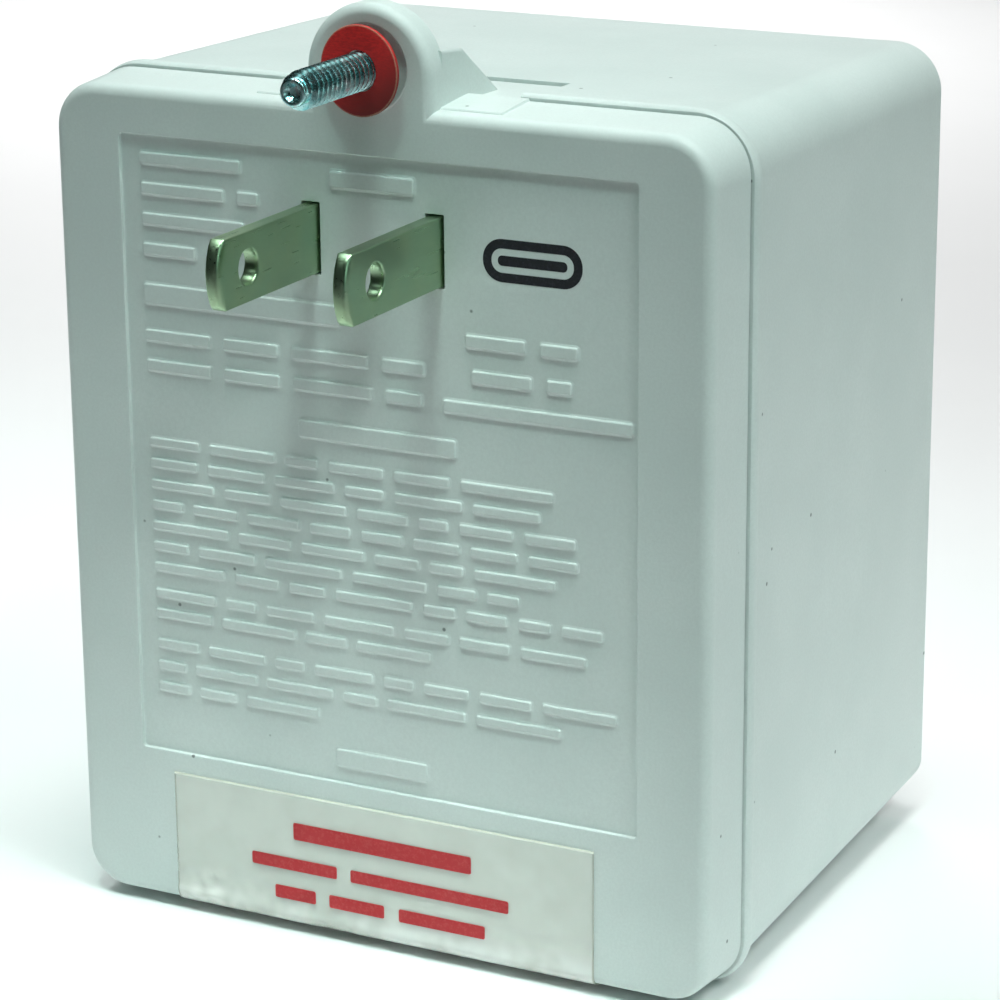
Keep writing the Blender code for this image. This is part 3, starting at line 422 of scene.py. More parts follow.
def fence_flats(mesh, smallest):
    """Marks the edges of big flat faces sharp, so that the shading on them stays even."""
    shape = bmesh.new()
    shape.from_mesh(mesh)
    for edge in shape.edges:
        if len(edge.link_faces) == 2:
            biggest = max(face.calc_area() for face in edge.link_faces)
            if biggest > smallest and edge.calc_face_angle() > FLAT_TURN:
                edge.smooth = False
    shape.to_mesh(mesh)
    shape.free()


def soften(made, sharp_above=SHARP_ABOVE, weighted=True, flat_area=0.0):
    """Smooth shading with sharp edges kept, and flat faces kept flat."""
    made.data.shade_smooth()
    made.data.set_sharp_from_angle(angle=sharp_above)
    if flat_area:
        fence_flats(made.data, flat_area)
    if weighted:
        normals = made.modifiers.new("flat faces", "WEIGHTED_NORMAL")
        normals.keep_sharp = True


def wear(made, finish, body, nodes=()):
    """Gives a finished piece its material and tells the frame what it rides on and replaces."""
    made.data.materials.clear()
    made.data.materials.append(finish)
    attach(made, body)
    if nodes:
        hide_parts(*nodes)
    return made


def loft(rings):
    """A closed solid through rings of equally many points."""
    shape = bmesh.new()
    rows = [[shape.verts.new(point) for point in ring] for ring in rings]
    count = len(rows[0])
    for near, far in zip(rows, rows[1:]):
        for i in range(count):
            j = (i + 1) % count
            shape.faces.new((near[i], near[j], far[j], far[i]))
    shape.faces.new(rows[0])
    shape.faces.new(rows[-1])
    return shape


def span(middle, half):
    """The two ends of a stretch about its middle."""
    return middle - half, middle + half


def block(x, y, z):
    """A box between two values on each axis."""
    corners = [(x[0], z[0]), (x[1], z[0]), (x[1], z[1]), (x[0], z[1])]
    return loft([[(px, depth, pz) for px, pz in corners] for depth in y])


def turned(profile, axis, centre, closed=False, steps=ROUND_STEPS):
    """A turned solid from (radius, place along the axis) pairs, about an axis through a point.

    A closed profile goes round a hole; an open one starts and ends on the axis."""
    shape = bmesh.new()
    rows = []
    for radius, along in profile:
        turn = [2 * math.pi * step / steps for step in range(steps)]
        if radius == 0:
            turn = [0.0]
        rows.append([
            shape.verts.new((radius * math.cos(angle), radius * math.sin(angle), along))
            for angle in turn
        ])
    pairs = list(zip(rows, rows[1:]))
    if closed:
        pairs.append((rows[-1], rows[0]))
    for near, far in pairs:
        for i in range(steps):
            j = (i + 1) % steps
            if len(near) == 1:
                shape.faces.new((near[0], far[j], far[i]))
            elif len(far) == 1:
                shape.faces.new((near[i], near[j], far[0]))
            else:
                shape.faces.new((near[i], near[j], far[j], far[i]))
    for vert in shape.verts:
        across, up, along = vert.co
        local = {"Y": (across, along, up), "Z": (across, up, along), "X": (along, across, up)}[axis]
        vert.co = Vector(local) + Vector(centre)
    return shape


def quarter_arc(radius, steps=EDGE_STEPS):
    """(inset, depth) pairs of a rounded edge, from the face to the side."""
    arc = []
    for step in range(steps + 1):
        angle = QUARTER * step / steps
        arc.append((radius * (1 - math.sin(angle)), radius * (1 - math.cos(angle))))
    return arc


class Outline:
    """A rounded rectangle across the case, with its own corner radius above and below."""

    def __init__(self, half_width, top, bottom, top_radius, bottom_radius, middle=0.0):
        self.half_width = half_width
        self.top = top
        self.bottom = bottom
        self.top_radius = top_radius
        self.bottom_radius = bottom_radius
        self.middle = middle

    def grown(self, amount, corner_ease=1.0):
        """The same outline, moved out by an amount all round."""
        return Outline(
            self.half_width + amount,
            self.top + amount,
            self.bottom - amount,
            max(self.top_radius + amount * corner_ease, SHARPEST_CORNER),
            max(self.bottom_radius + amount, SHARPEST_CORNER),
            self.middle,
        )

    def ring(self, depth, steps=CORNER_STEPS):
        """The outline's points at one depth, in order round it."""
        upper = self.top - self.top_radius
        lower = self.bottom + self.bottom_radius
        corners = (
            (self.half_width - self.top_radius, upper, self.top_radius),
            (self.top_radius - self.half_width, upper, self.top_radius),
            (self.bottom_radius - self.half_width, lower, self.bottom_radius),
            (self.half_width - self.bottom_radius, lower, self.bottom_radius),
        )
        points = []
        for quarter, (x, z, radius) in enumerate(corners):
            for step in range(steps + 1):
                angle = QUARTER * (quarter + step / steps)
                points.append((
                    self.middle + x + radius * math.cos(angle),
                    depth,
                    z + radius * math.sin(angle),
                ))
        return points


SEAM = Outline(CASE_HALF_WIDTH, CASE_TOP, CASE_BOTTOM, TOP_CORNER_RADIUS, BOTTOM_CORNER_RADIUS)
RIM = SEAM.grown(-COVER_DRAFT)
REAR = Outline(
    CASE_HALF_WIDTH - SIDE_DRAFT,
    CASE_TOP - TOP_DRAFT,
    CASE_BOTTOM + BOTTOM_DRAFT,
    REAR_TOP_CORNER_RADIUS,
    REAR_BOTTOM_CORNER_RADIUS,
)
SPIGOT = SEAM.grown(SPIGOT_THICKNESS - WALL)
SCREW_HEIGHT = (SCREW_LOW.z + SCREW_HIGH.z) / 2 - DATUM.z
EAR_ARCH_HEIGHT = SCREW_HEIGHT - EAR_ARCH_DROP
CORE_TOP = CORE_HIGH.z - DATUM.z
CORE_BOTTOM = SHEET_LOW.z - DATUM.z
CORE_FRONT = CORE_LOW.y - DATUM.y
CORE_REAR = CORE_HIGH.y - DATUM.y
CORE_MIDDLE = (CORE_FRONT + CORE_REAR) / 2
CORE_HALF_WIDTH = CORE_HIGH.x
TERMINAL_X = (TERMINAL_LOW.x + TERMINAL_HIGH.x) / 2
TERMINAL_DEPTH = (TERMINAL_LOW.y + TERMINAL_HIGH.y) / 2 - DATUM.y
PANEL = Outline(
    RIM.half_width - PANEL_SIDE_MARGIN,
    RIM.top - PANEL_TOP_MARGIN,
    RIM.bottom + PANEL_BOTTOM_MARGIN,
    PANEL_CORNER_RADIUS,
    PANEL_CORNER_RADIUS,
)
BLADE_X = (BLADE_LOW.x + BLADE_HIGH.x) / 2
BLADE_THICKNESS = BLADE_HIGH.x - BLADE_LOW.x
BLADE_WIDTH = BLADE_HIGH.z - BLADE_LOW.z - 2 * BLADE_SHOULDER
BLADE_REACH = DATUM.y - BLADE_LOW.y


def outside_at(depth):
    """The housing's outer outline at a depth behind the seam."""
    share = (depth - HOUSING_FRONT) / (CASE_DEPTH - HOUSING_FRONT)

    def between(a, b):
        return a + (b - a) * share

    return Outline(
        between(SEAM.half_width, REAR.half_width),
        between(SEAM.top, REAR.top),
        between(SEAM.bottom, REAR.bottom),
        between(SEAM.top_radius, REAR.top_radius),
        between(SEAM.bottom_radius, REAR.bottom_radius),
    )


def pocket(outline, face, floor, edge_radius, floor_radius=0.0):
    """A cutter for a pocket from a face to its floor, with its edges rounded."""
    into = 1 if floor > face else -1
    rings = [outline.grown(edge_radius).ring(face - into * WALL, FEW_STEPS)]
    for inset, depth in quarter_arc(edge_radius, FEW_STEPS):
        rings.append(outline.grown(inset).ring(face + into * depth, FEW_STEPS))
    if floor_radius:
        for inset, depth in reversed(quarter_arc(floor_radius, FEW_STEPS)):
            rings.append(outline.grown(-inset).ring(floor - into * depth, FEW_STEPS))
    else:
        rings.append(outline.ring(floor, FEW_STEPS))
    return loft(rings)


# Moulded cover on the wall side
def ear_ring(inset, depth):
    """The ear's arch at one depth, on straight sides that stand in the case's top wall."""
    radius = EAR_RADIUS - inset
    root = SEAM.top - EAR_ROOT
    points = [(radius, depth, root)]
    for step in range(ARCH_STEPS + 1):
        angle = math.pi * step / ARCH_STEPS
        points.append((radius * math.cos(angle), depth, EAR_ARCH_HEIGHT + radius * math.sin(angle)))
    return points + [(-radius, depth, root)]


def ear_solid():
    rings = [ear_ring(inset, depth) for inset, depth in quarter_arc(EAR_RIM_RADIUS)]
    return loft(rings + [ear_ring(0.0, EAR_THICKNESS)])


def cheek_solid(side):
    """One of the two sloping cheeks behind the ear, its outer top edge rounded."""
    top = SCREW_HEIGHT + CHEEK_ABOVE_SCREW
    surface = SEAM.top - TONGUE_SET_DOWN
    foot = surface - TONGUE_THICKNESS / 2
    start = EAR_THICKNESS - CHEEK_ROOT
    top_end = EAR_THICKNESS + CHEEK_TOP_LENGTH
    slope_end = top_end + CHEEK_SLOPE_LENGTH
    rings = []
    inner = EAR_RADIUS - CHEEK_THICKNESS
    outer = EAR_RADIUS - CHEEK_SET_IN
    sections = [(inner, 0.0)]
    rounding = quarter_arc(CHEEK_EDGE_RADIUS, FEW_STEPS)
    sections += [(outer - inset, depth) for inset, depth in rounding]
    for across, drop in sections:
        rings.append([
            (side * across, start, foot),
            (side * across, start, top - drop),
            (side * across, top_end, top - CHEEK_TOP_FALL - drop),
            (side * across, slope_end, surface - drop),
            (side * across, slope_end, foot),
        ])
    return loft(rings)


def tongue_solid():
    """The cover's tongue, which lies in a notch in the housing's top."""
    drop = SEAM.top - outside_at(TONGUE_REAR).top
    top = SEAM.top - TONGUE_SET_DOWN
    low = SEAM.top - TONGUE_SET_DOWN - TONGUE_THICKNESS - drop
    rear_half = TONGUE_HALF_WIDTH - TONGUE_TAPER
    rings = []
    for depth, half, lower in (
        (COVER_REAR - COVER_FLOOR, TONGUE_HALF_WIDTH, 0.0),
        (TONGUE_REAR - TONGUE_EDGE, rear_half, drop),
        (TONGUE_REAR, rear_half - TONGUE_EDGE, drop + TONGUE_EDGE),
    ):
        high = top - lower
        rings.append([
            (half, depth, high - TONGUE_EDGE),
            (half - TONGUE_EDGE, depth, high),
            (TONGUE_EDGE - half, depth, high),
            (-half, depth, high - TONGUE_EDGE),
            (-half, depth, low),
            (half, depth, low),
        ])
    return loft(rings)


def pad_solid():
    """The faint low pad on the cover's top round the ear's foot."""
    top = RIM.top + COVER_DRAFT * PAD_FRONT / COVER_REAR + PAD_RISE
    foot = RIM.top - WALL / 2
    rings = []
    for depth, rise in (
        (PAD_FRONT, -PAD_RISE),
        (PAD_FRONT + PAD_RISE, 0.0),
        (COVER_REAR, COVER_DRAFT),
    ):
        rings.append([
            (PAD_HALF_WIDTH, depth, top + rise - 2 * PAD_RISE),
            (PAD_HALF_WIDTH - PAD_RISE, depth, top + rise),
            (PAD_RISE - PAD_HALF_WIDTH, depth, top + rise),
            (-PAD_HALF_WIDTH, depth, top + rise - 2 * PAD_RISE),
            (-PAD_HALF_WIDTH, depth, foot),
            (PAD_HALF_WIDTH, depth, foot),
        ])
    return loft(rings)


def post_places():
    """Where the four posts stand that clamp the core's corners, as x and z."""
    x = CORE_HALF_WIDTH - POST_INSET
    heights = (CORE_TOP - POST_INSET, CORE_BOTTOM + POST_INSET)
    return [(side * x, z) for side in SIDES for z in heights]


def post(x, z, low, high):
    return block(span(x, POST_SIZE / 2), (low, high), span(z, POST_SIZE / 2))


def cover_shell():
    rings = [RIM.grown(-inset).ring(depth) for inset, depth in quarter_arc(FRONT_EDGE_RADIUS)]
    for inset, depth in reversed(quarter_arc(SEAM_EDGE_RADIUS, SEAM_EDGE_STEPS)):
        rings.append(SEAM.grown(-inset).ring(COVER_REAR - depth))
    rings += [SPIGOT.ring(depth) for depth in (COVER_REAR, SPIGOT_REAR)]
    cover = put_on_datum("cover_shell", loft(rings))
    added = [put_on_datum("ear", ear_solid())]
    added += [put_on_datum("cheek", cheek_solid(side)) for side in SIDES]
    carve(cover, "UNION", added)

    inner = SEAM.grown(-WALL)
    depths = (COVER_FLOOR, SPIGOT_REAR + WALL)
    hollow = put_on_datum("cover_hollow", loft([inner.ring(depth) for depth in depths]))
    bosses = [
        put_on_datum("blade_boss", block(
            span(side * BLADE_X, BLADE_THICKNESS / 2 + BLADE_BOSS_WALL),
            (0.0, COVER_FLOOR + BLADE_BOSS_HEIGHT),
            span(0.0, BLADE_WIDTH / 2 + BLADE_SHOULDER + BLADE_BOSS_WALL),
        ))
        for side in SIDES
    ]
    for x, z in post_places():
        bosses.append(put_on_datum("front_post", post(x, z, 0.0, CORE_FRONT - FIT)))
    carve(hollow, "DIFFERENCE", bosses)
    carve(cover, "DIFFERENCE", [hollow])
    carve(cover, "UNION", [
        put_on_datum("tongue", tongue_solid()),
        put_on_datum("pad", pad_solid()),
    ])

    panel = pocket(PANEL, 0.0, PANEL_DEPTH, PANEL_EDGE_RADIUS, PANEL_EDGE_RADIUS)
    cutters = [put_on_datum("panel", panel)]
    slot_half = BLADE_WIDTH / 2 + BLADE_SLOT_PLAY
    slot_depth = COVER_FLOOR + BLADE_BOSS_HEIGHT + WALL
    for side in SIDES:
        slot = Outline(
            BLADE_THICKNESS / 2 + BLADE_SLOT_PLAY,
            slot_half,
            -slot_half,
            SLOT_CORNER_RADIUS,
            SLOT_CORNER_RADIUS,
            side * BLADE_X,
        )
        opening = pocket(slot, PANEL_DEPTH, slot_depth, SLOT_EDGE_RADIUS)
        cutters.append(put_on_datum("blade_slot", opening))
    rounding = quarter_arc(EAR_RECESS_EDGE, FEW_STEPS)
    profile = [(0, -WALL), (EAR_RECESS_RADIUS + EAR_RECESS_EDGE, -WALL)]
    profile += [(EAR_RECESS_RADIUS + inset, depth) for inset, depth in rounding]
    profile += [
        (EAR_RECESS_RADIUS, EAR_RECESS_DEPTH),
        (EAR_HOLE_RADIUS, EAR_RECESS_DEPTH),
        (EAR_HOLE_RADIUS, EAR_THICKNESS + WALL),
        (0, EAR_THICKNESS + WALL),
    ]
    cutters.append(put_on_datum("screw_hole", turned(profile, "Y", (0.0, 0.0, SCREW_HEIGHT))))
    return carve(cover, "DIFFERENCE", cutters)


# Deep moulded housing
def housing_rings():
    rings = []
    for step in range(BEAD_STEPS + 1):
        angle = BEAD_START + (math.pi - BEAD_START) * step / BEAD_STEPS
        depth = HOUSING_FRONT + BEAD_WIDTH * (math.cos(BEAD_START) - math.cos(angle)) / 2
        bulge = BEAD_HEIGHT * math.sin(angle)
        rings.append(outside_at(depth).grown(bulge, BEAD_CORNER_EASE).ring(depth))
    for inset, depth in reversed(quarter_arc(REAR_EDGE_RADIUS, FEW_STEPS)):
        rings.append(REAR.grown(-inset).ring(CASE_DEPTH - depth))
    return rings


def core_rests():
    """Ribs and posts inside the housing that the core and its strap bear on."""
    shapes = []
    half = RIB_THICKNESS / 2
    strap_half = (STRAP_HIGH.y - STRAP_LOW.y) / 2
    leg = CORE_HALF_WIDTH / 3
    for side in SIDES:
        edge = side * (STRAP_HIGH.x + FIT)
        for offset in (-RIB_SPACING / 2, RIB_SPACING / 2):
            depth = CORE_MIDDLE + offset
            shapes.append(block(
                sorted((edge, side * (CASE_HALF_WIDTH + WALL))),
                span(depth, half),
                (CORE_BOTTOM + leg / 2, CORE_TOP - leg / 2),
            ))
            shapes.append(block(
                span(side * 2 * leg, half),
                span(depth, TOP_RIB_LENGTH / 2),
                (STRAP_HIGH.z - DATUM.z + FIT, CASE_TOP + WALL),
            ))
        shapes.append(block(
            span(side * (CORE_HALF_WIDTH - STRAP_TAB / 2), half),
            span(CORE_MIDDLE, strap_half),
            (CASE_BOTTOM - WALL, STRAP_LOW.z - DATUM.z - FIT),
        ))
    for x, z in post_places():
        shapes.append(post(x, z, CORE_REAR + FIT, CASE_DEPTH + WALL))
    return shapes


def housing_shell():
    housing = put_on_datum("housing_shell", loft(housing_rings()))
    lip = SPIGOT.grown(LIP_GAP)
    lip_rear = SPIGOT_REAR + FIT
    floor_depth = CASE_DEPTH - REAR_WALL
    bay_half = BAY_WIDTH / 2
    bay_front, bay_rear = span(TERMINAL_DEPTH, BAY_LENGTH / 2)
    bay_ceiling = CASE_BOTTOM + BAY_DEPTH
    bay_top = bay_ceiling + BAY_WALL
    through = (bay_ceiling - WALL, bay_top + WALL)
    hollow = put_on_datum("housing_hollow", loft([
        lip.ring(HOUSING_FRONT - WALL),
        lip.ring(lip_rear),
        outside_at(lip_rear).grown(-WALL).ring(lip_rear),
        outside_at(floor_depth).grown(-WALL).ring(floor_depth),
    ]))
    rests = [put_on_datum("core_rest", shape) for shape in core_rests()]
    rests.append(put_on_datum("bay_body", block(
        span(0.0, bay_half + BAY_WALL),
        (bay_front - BAY_WALL, bay_rear + BAY_WALL),
        (CASE_BOTTOM - WALL, bay_top),
    )))
    carve(hollow, "DIFFERENCE", rests)
    carve(housing, "DIFFERENCE", [hollow])

    cutters = [put_on_datum("tongue_notch", block(
        span(0.0, TONGUE_HALF_WIDTH + TONGUE_GAP),
        (HOUSING_FRONT - WALL, TONGUE_REAR + TONGUE_GAP),
        (REAR.top - 2 * WALL, SEAM.top + WALL),
    ))]
    hole = [(0, through[0]), (TERMINAL_HOLE_RADIUS, through[0])]
    hole += [(radius, through[1]) for radius, _ in reversed(hole)]
    for side in SIDES:
        x = side * TERMINAL_X
        cutters.append(put_on_datum("terminal_bay", block(
            sorted((side * BAY_DIVIDER / 2, side * bay_half)),
            (bay_front, bay_rear),
            (CASE_BOTTOM - WALL, bay_ceiling),
        )))
        drill = turned(hole, "Z", (x, TERMINAL_DEPTH, 0.0), steps=TERMINAL_HOLE_STEPS)
        cutters.append(put_on_datum("terminal_hole", drill))
        cutters.append(put_on_datum("tail_slot", block(
            span(x, TAIL_HALF_WIDTH),
            (TERMINAL_DEPTH + TAIL_SLOT_FRONT, TERMINAL_DEPTH + TAIL_SLOT_REAR),
            through,
        )))
    return carve(housing, "DIFFERENCE", cutters)


# Plug blades
def blade_outline():
    """(depth, height, bevel width, bevel depth) of the points round a blade.

    The tip is crowned and its bevel is wide; the sides only have a broken edge."""
    half = BLADE_WIDTH / 2
    shoulder = half + BLADE_SHOULDER
    seat = COVER_FLOOR + BLADE_BOSS_HEIGHT + FIT
    behind = seat + BLADE_SHOULDER_LENGTH
    tail = BLADE_HIGH.y - DATUM.y
    radius = (half ** 2 + BLADE_TIP_CROWN ** 2) / (2 * BLADE_TIP_CROWN)
    half_angle = math.asin((half - BLADE_TIP_CORNER) / radius)
    points = []
    for step in range(BLADE_TIP_STEPS + 1):
        angle = half_angle * (2 * step / BLADE_TIP_STEPS - 1)
        points.append((
            radius * (1 - math.cos(angle)) - BLADE_REACH,
            radius * math.sin(angle),
            BLADE_TIP_BEVEL_WIDTH,
            BLADE_TIP_BEVEL_DEPTH,
        ))
    corner_depth = BLADE_TIP_CROWN + BLADE_TIP_CORNER - BLADE_REACH
    sides = [
        (corner_depth, half),
        (seat, half),
        (seat, shoulder),
        (behind, shoulder),
        (behind, half),
        (tail, half),
    ]
    sides += [(depth, -height) for depth, height in reversed(sides)]
    return points + [(*place, BLADE_EDGE_WIDTH, BLADE_EDGE_WIDTH) for place in sides]


def outward(points):
    """The outward direction at each point of a closed outline."""
    directions = []
    for number, (depth, height, *_) in enumerate(points):
        before = points[number - 1]
        after = points[(number + 1) % len(points)]
        arriving = Vector((depth - before[0], height - before[1])).normalized()
        leaving = Vector((after[0] - depth, after[1] - height)).normalized()
        along = (arriving + leaving).normalized()
        directions.append((-along.y, along.x))
    return directions


def blade_solid(side):
    """A plug blade: an outline with bevelled faces, and a drilled hole with broken edges."""
    half_thickness = BLADE_THICKNESS / 2
    outline = blade_outline()
    directions = outward(outline)
    turns = [QUARTER * step / EDGE_STEPS for step in range(EDGE_STEPS + 1)]
    rings = []
    for face, angles in ((-1, turns), (1, reversed(turns))):
        for angle in angles:
            ring = []
            for (depth, height, width, fall), (out_y, out_z) in zip(outline, directions):
                inset = width * (1 - math.sin(angle))
                x = side * BLADE_X + face * (half_thickness - fall * (1 - math.cos(angle)))
                ring.append((x, depth - out_y * inset, height - out_z * inset))
            rings.append(ring)
    blade = put_on_datum("blade", loft(rings))
    rounding = quarter_arc(BLADE_HOLE_FLARE, FEW_STEPS)
    edge = [(BLADE_HOLE_RADIUS + inset, depth - half_thickness) for inset, depth in rounding]
    profile = [(0, -WALL), (BLADE_HOLE_RADIUS + BLADE_HOLE_FLARE, -WALL), *edge]
    profile += [(radius, -along) for radius, along in reversed(profile)]
    centre = (side * BLADE_X, BLADE_HOLE_FROM_TIP - BLADE_REACH, 0.0)
    drill = turned(profile, "X", centre, steps=BLADE_HOLE_STEPS)
    return carve(blade, "DIFFERENCE", [put_on_datum("blade_drill", drill)])


# Mounting screw and washer
def geometry_tree(name, inputs):
    """An empty geometry tree with a geometry input and output and named number inputs."""
    tree = bpy.data.node_groups.new(name, "GeometryNodeTree")
    tree.interface.new_socket("Geometry", in_out="INPUT", socket_type="NodeSocketGeometry")
    tree.interface.new_socket("Geometry", in_out="OUTPUT", socket_type="NodeSocketGeometry")
    for input_name, value in inputs.items():
        kind = "NodeSocketInt" if isinstance(value, int) else "NodeSocketFloat"
        socket = tree.interface.new_socket(input_name, in_out="INPUT", socket_type=kind)
        socket.default_value = value
    return Graph(tree)


def finish_tree(graph, geometry, material):
    """Ends a geometry tree in Realize Instances and Set Material."""
    real = graph.add("GeometryNodeRealizeInstances", {"Geometry": geometry})
    dressed = graph.add("GeometryNodeSetMaterial", {"Geometry": real, "Material": material})
    graph.add("NodeGroupOutput", {"Geometry": dressed})


def grow(made, graph, inputs):
    """Runs a geometry tree on an object and keeps the result as a plain mesh."""
    modifier = made.modifiers.new("grow", "NODES")
    modifier.node_group = graph.tree
    for item in graph.tree.interface.items_tree:
        if item.in_out == "INPUT" and item.name in inputs:
            modifier[item.identifier] = inputs[item.name]
    bake_modifiers(made)
    return made


def thread_ridge(material):
    """The screw's thread: a ridge with sloping sides that winds along the shank."""
    sizes = {
        "Turns": (SCREW_SEAT - (SCREW_LOW.y - DATUM.y) - SCREW_POINT_LENGTH) / SCREW_PITCH,
        "Pitch": SCREW_PITCH,
        "Root Radius": SCREW_ROOT_RADIUS,
        "Crest Radius": SCREW_RADIUS,
    }
    graph = geometry_tree("thread_ridge", sizes)
    given = graph.add("NodeGroupInput")
    turns, pitch = given.other("Turns"), given.other("Pitch")
    root, crest = given.other("Root Radius"), given.other("Crest Radius")
    radius = (root + crest) / 2 - THREAD_SUNK / 2
    helix = graph.add("GeometryNodeCurveSpiral", {
        "Resolution": THREAD_STEPS,
        "Rotations": turns,
        "Start Radius": radius,
        "End Radius": radius,
        "Height": turns * pitch,
    })
    along = graph.add("GeometryNodeSplineParameter", output="Factor")
    from_end = graph.math("MINIMUM", along, 1 - along) * turns
    run_out = graph.smooth(from_end, 0.0, THREAD_RUN_OUT_TURNS)
    place = graph.add("GeometryNodeInputPosition")
    flat = graph.vector("MULTIPLY", {0: place, 1: (1.0, 1.0, 0.0)})
    outward_way = graph.vector("NORMALIZE", {0: flat})
    dive = (run_out - 1) * ((crest - root) / 2)
    shift = graph.vector("SCALE", {0: outward_way, "Scale": dive})
    diving = graph.add("GeometryNodeSetPosition", {"Geometry": helix, "Offset": shift})
    upright = graph.add("GeometryNodeSetCurveNormal", {"Curve": diving}, mode="Z_UP")
    tapered = graph.add("GeometryNodeSetCurveRadius", {
        "Curve": upright,
        "Radius": run_out * (1 - THREAD_END_SHARE) + THREAD_END_SHARE,
    })
    ridge = graph.add("GeometryNodeCurvePrimitiveQuadrilateral", {
        "Height": crest - root + THREAD_SUNK,
        "Bottom Width": pitch * THREAD_FOOT_SHARE,
        "Top Width": pitch * THREAD_CREST_SHARE,
        "Offset": 0.0,
    }, mode="TRAPEZOID")
    swept = graph.add("GeometryNodeCurveToMesh", {
        "Curve": tapered,
        "Profile Curve": graph.add("GeometryNodeTransform", {
            "Geometry": ridge,
            "Rotation": (0.0, 0.0, QUARTER),
        }),
        "Fill Caps": True,
    })
    finish_tree(graph, swept, material)
    made = show("thread_ridge", bpy.data.meshes.new("thread_ridge"))
    grow(made, graph, sizes)
    start = (0.0, SCREW_LOW.y + SCREW_POINT_LENGTH - THREAD_SUNK, DATUM.z + SCREW_HEIGHT)
    made.data.transform(Matrix.Translation(start) @ Matrix.Rotation(-QUARTER, 4, "X"))
    return made


def screw_core():
    """The screw's root cylinder with its cupped point and its slotted head."""
    tip = SCREW_LOW.y - DATUM.y
    head_rear = SCREW_HIGH.y - DATUM.y
    head_radius = (SCREW_HIGH.x - SCREW_LOW.x) / 2
    crown = SCREW_HEAD_CROWN * SCREW_CROWN_SHARE
    rounding = quarter_arc(SCREW_POINT_EDGE, POINT_EDGE_STEPS)
    profile = [
        (SCREW_CUP_RADIUS * out, tip + SCREW_CUP_DEPTH * deep) for out, deep in SCREW_CUP_SHARES
    ]
    profile.append((SCREW_CUP_RADIUS, tip + SCREW_CUP_LIP))
    profile += [(SCREW_ROOT_RADIUS - inset, tip + depth) for inset, depth in rounding]
    profile += [
        (SCREW_ROOT_RADIUS, tip + SCREW_POINT_LENGTH),
        (SCREW_ROOT_RADIUS, SCREW_SEAT),
        (head_radius, SCREW_SEAT),
        (head_radius, head_rear - SCREW_HEAD_CROWN),
        (head_radius - crown, head_rear - crown),
        (head_radius - SCREW_HEAD_CROWN, head_rear),
        (0, head_rear),
    ]
    core = put_on_datum("screw", turned(profile, "Y", (0.0, 0.0, SCREW_HEIGHT)))
    slot = block(
        span(0.0, 2 * head_radius),
        span(head_rear, DRIVER_SLOT_DEPTH),
        span(SCREW_HEIGHT, DRIVER_SLOT_WIDTH / 2),
    )
    return carve(core, "DIFFERENCE", [put_on_datum("driver_slot", slot)])


def join(name, pieces):
    """Several plain meshes as one object."""
    shape = bmesh.new()
    for piece in pieces:
        shape.from_mesh(piece.data)
        discard(piece)
    bmesh.ops.remove_doubles(shape, verts=shape.verts, dist=SAME_PLACE)
    return show(name, mesh_from(name, shape))


def washer_solid():
    """The fibre washer, punched from sheet, so its edges are a little uneven. It leans."""
    uneven = random.Random(WASHER_SEED)
    half = WASHER_THICKNESS / 2
    rounding = quarter_arc(WASHER_EDGE, FEW_STEPS)
    outer = [(WASHER_RADIUS - inset, half - depth) for inset, depth in rounding]
    profile = [(WASHER_HOLE_RADIUS, half), *outer]
    profile += [(radius, -along) for radius, along in reversed(profile)]
    shape = turned(profile, "Y", (0.0, 0.0, 0.0), closed=True, steps=WASHER_STEPS)
    for vert in shape.verts:
        nudge = 1 + uneven.uniform(-WASHER_UNEVENNESS, WASHER_UNEVENNESS)
        vert.co.x *= nudge
        vert.co.z *= nudge
    bmesh.ops.rotate(shape, verts=shape.verts, matrix=Matrix.Rotation(-WASHER_TILT, 3, "Z"))
    middle = Vector((0.0, (WASHER_LOW.y + WASHER_HIGH.y) / 2 - DATUM.y, SCREW_HEIGHT))
    bmesh.ops.translate(shape, verts=shape.verts, vec=middle)
    return put_on_datum("fibre_washer", shape)


# Raised rows of plain bars on the panel
class Block:
    """Rows of bars, in mm: the left edge, the top row's height, the row pitch, the room for a
    bar's height, and each row's right edge. A whole row is one bar."""

    def __init__(self, left, top, pitch, tall, ends, whole=False):
        self.left = left
        self.top = top
        self.pitch = pitch
        self.tall = tall
        self.ends = ends
        self.whole = whole

    def rows(self):
        """(left edge, height, run, room, shortest bar, longest bar) of each row, in metres."""
        for number, end in enumerate(self.ends):
            run = end - self.left
            shortest = run if self.whole else SHORTEST_BAR * self.tall
            longest = run if self.whole else LONGEST_BAR * self.tall
            height = self.top - number * self.pitch
            row = (self.left, height, run, self.tall, shortest, longest)
            yield tuple(value * MM for value in row)


def one_bar(left, height, tall, end):
    """A row that is one bar."""
    return Block(left, height, 0.0, tall, (end,), whole=True)


PANEL_BLOCKS = (
    Block(-24.4, 5.9, 2.87, 1.9, (-13.6, -11.8, -13.4, -18.7)),
    one_bar(-24.5, -7.0, 3.3, -3.4),
    Block(-24.5, -11.0, 2.9, 1.9, (5.2, 4.9)),
    Block(-24.5, -21.4, 2.07, 1.5, (18.1, 16.8, 20.3, 20.5, 18.3, 14.6, 23.0)),
    Block(-24.5, -36.5, 2.0, 1.5, (21.3, 5.4)),
    Block(-24.5, -41.6, 2.2, 1.5, (24.4, 18.8, -6.7)),
    one_bar(-4.2, 5.65, 2.6, 4.4),
    one_bar(-8.1, -18.1, 2.8, 8.3),
    one_bar(-4.9, -50.05, 2.9, 4.9),
    Block(9.4, -7.85, 0.0, 2.0, (20.6,)),
    Block(10.0, -11.1, 0.0, 2.0, (20.0,)),
    one_bar(7.1, -14.1, 2.0, 26.0),
)
BAR_RISE = 0.27 * MM
BAR_SUNK = 0.05 * MM
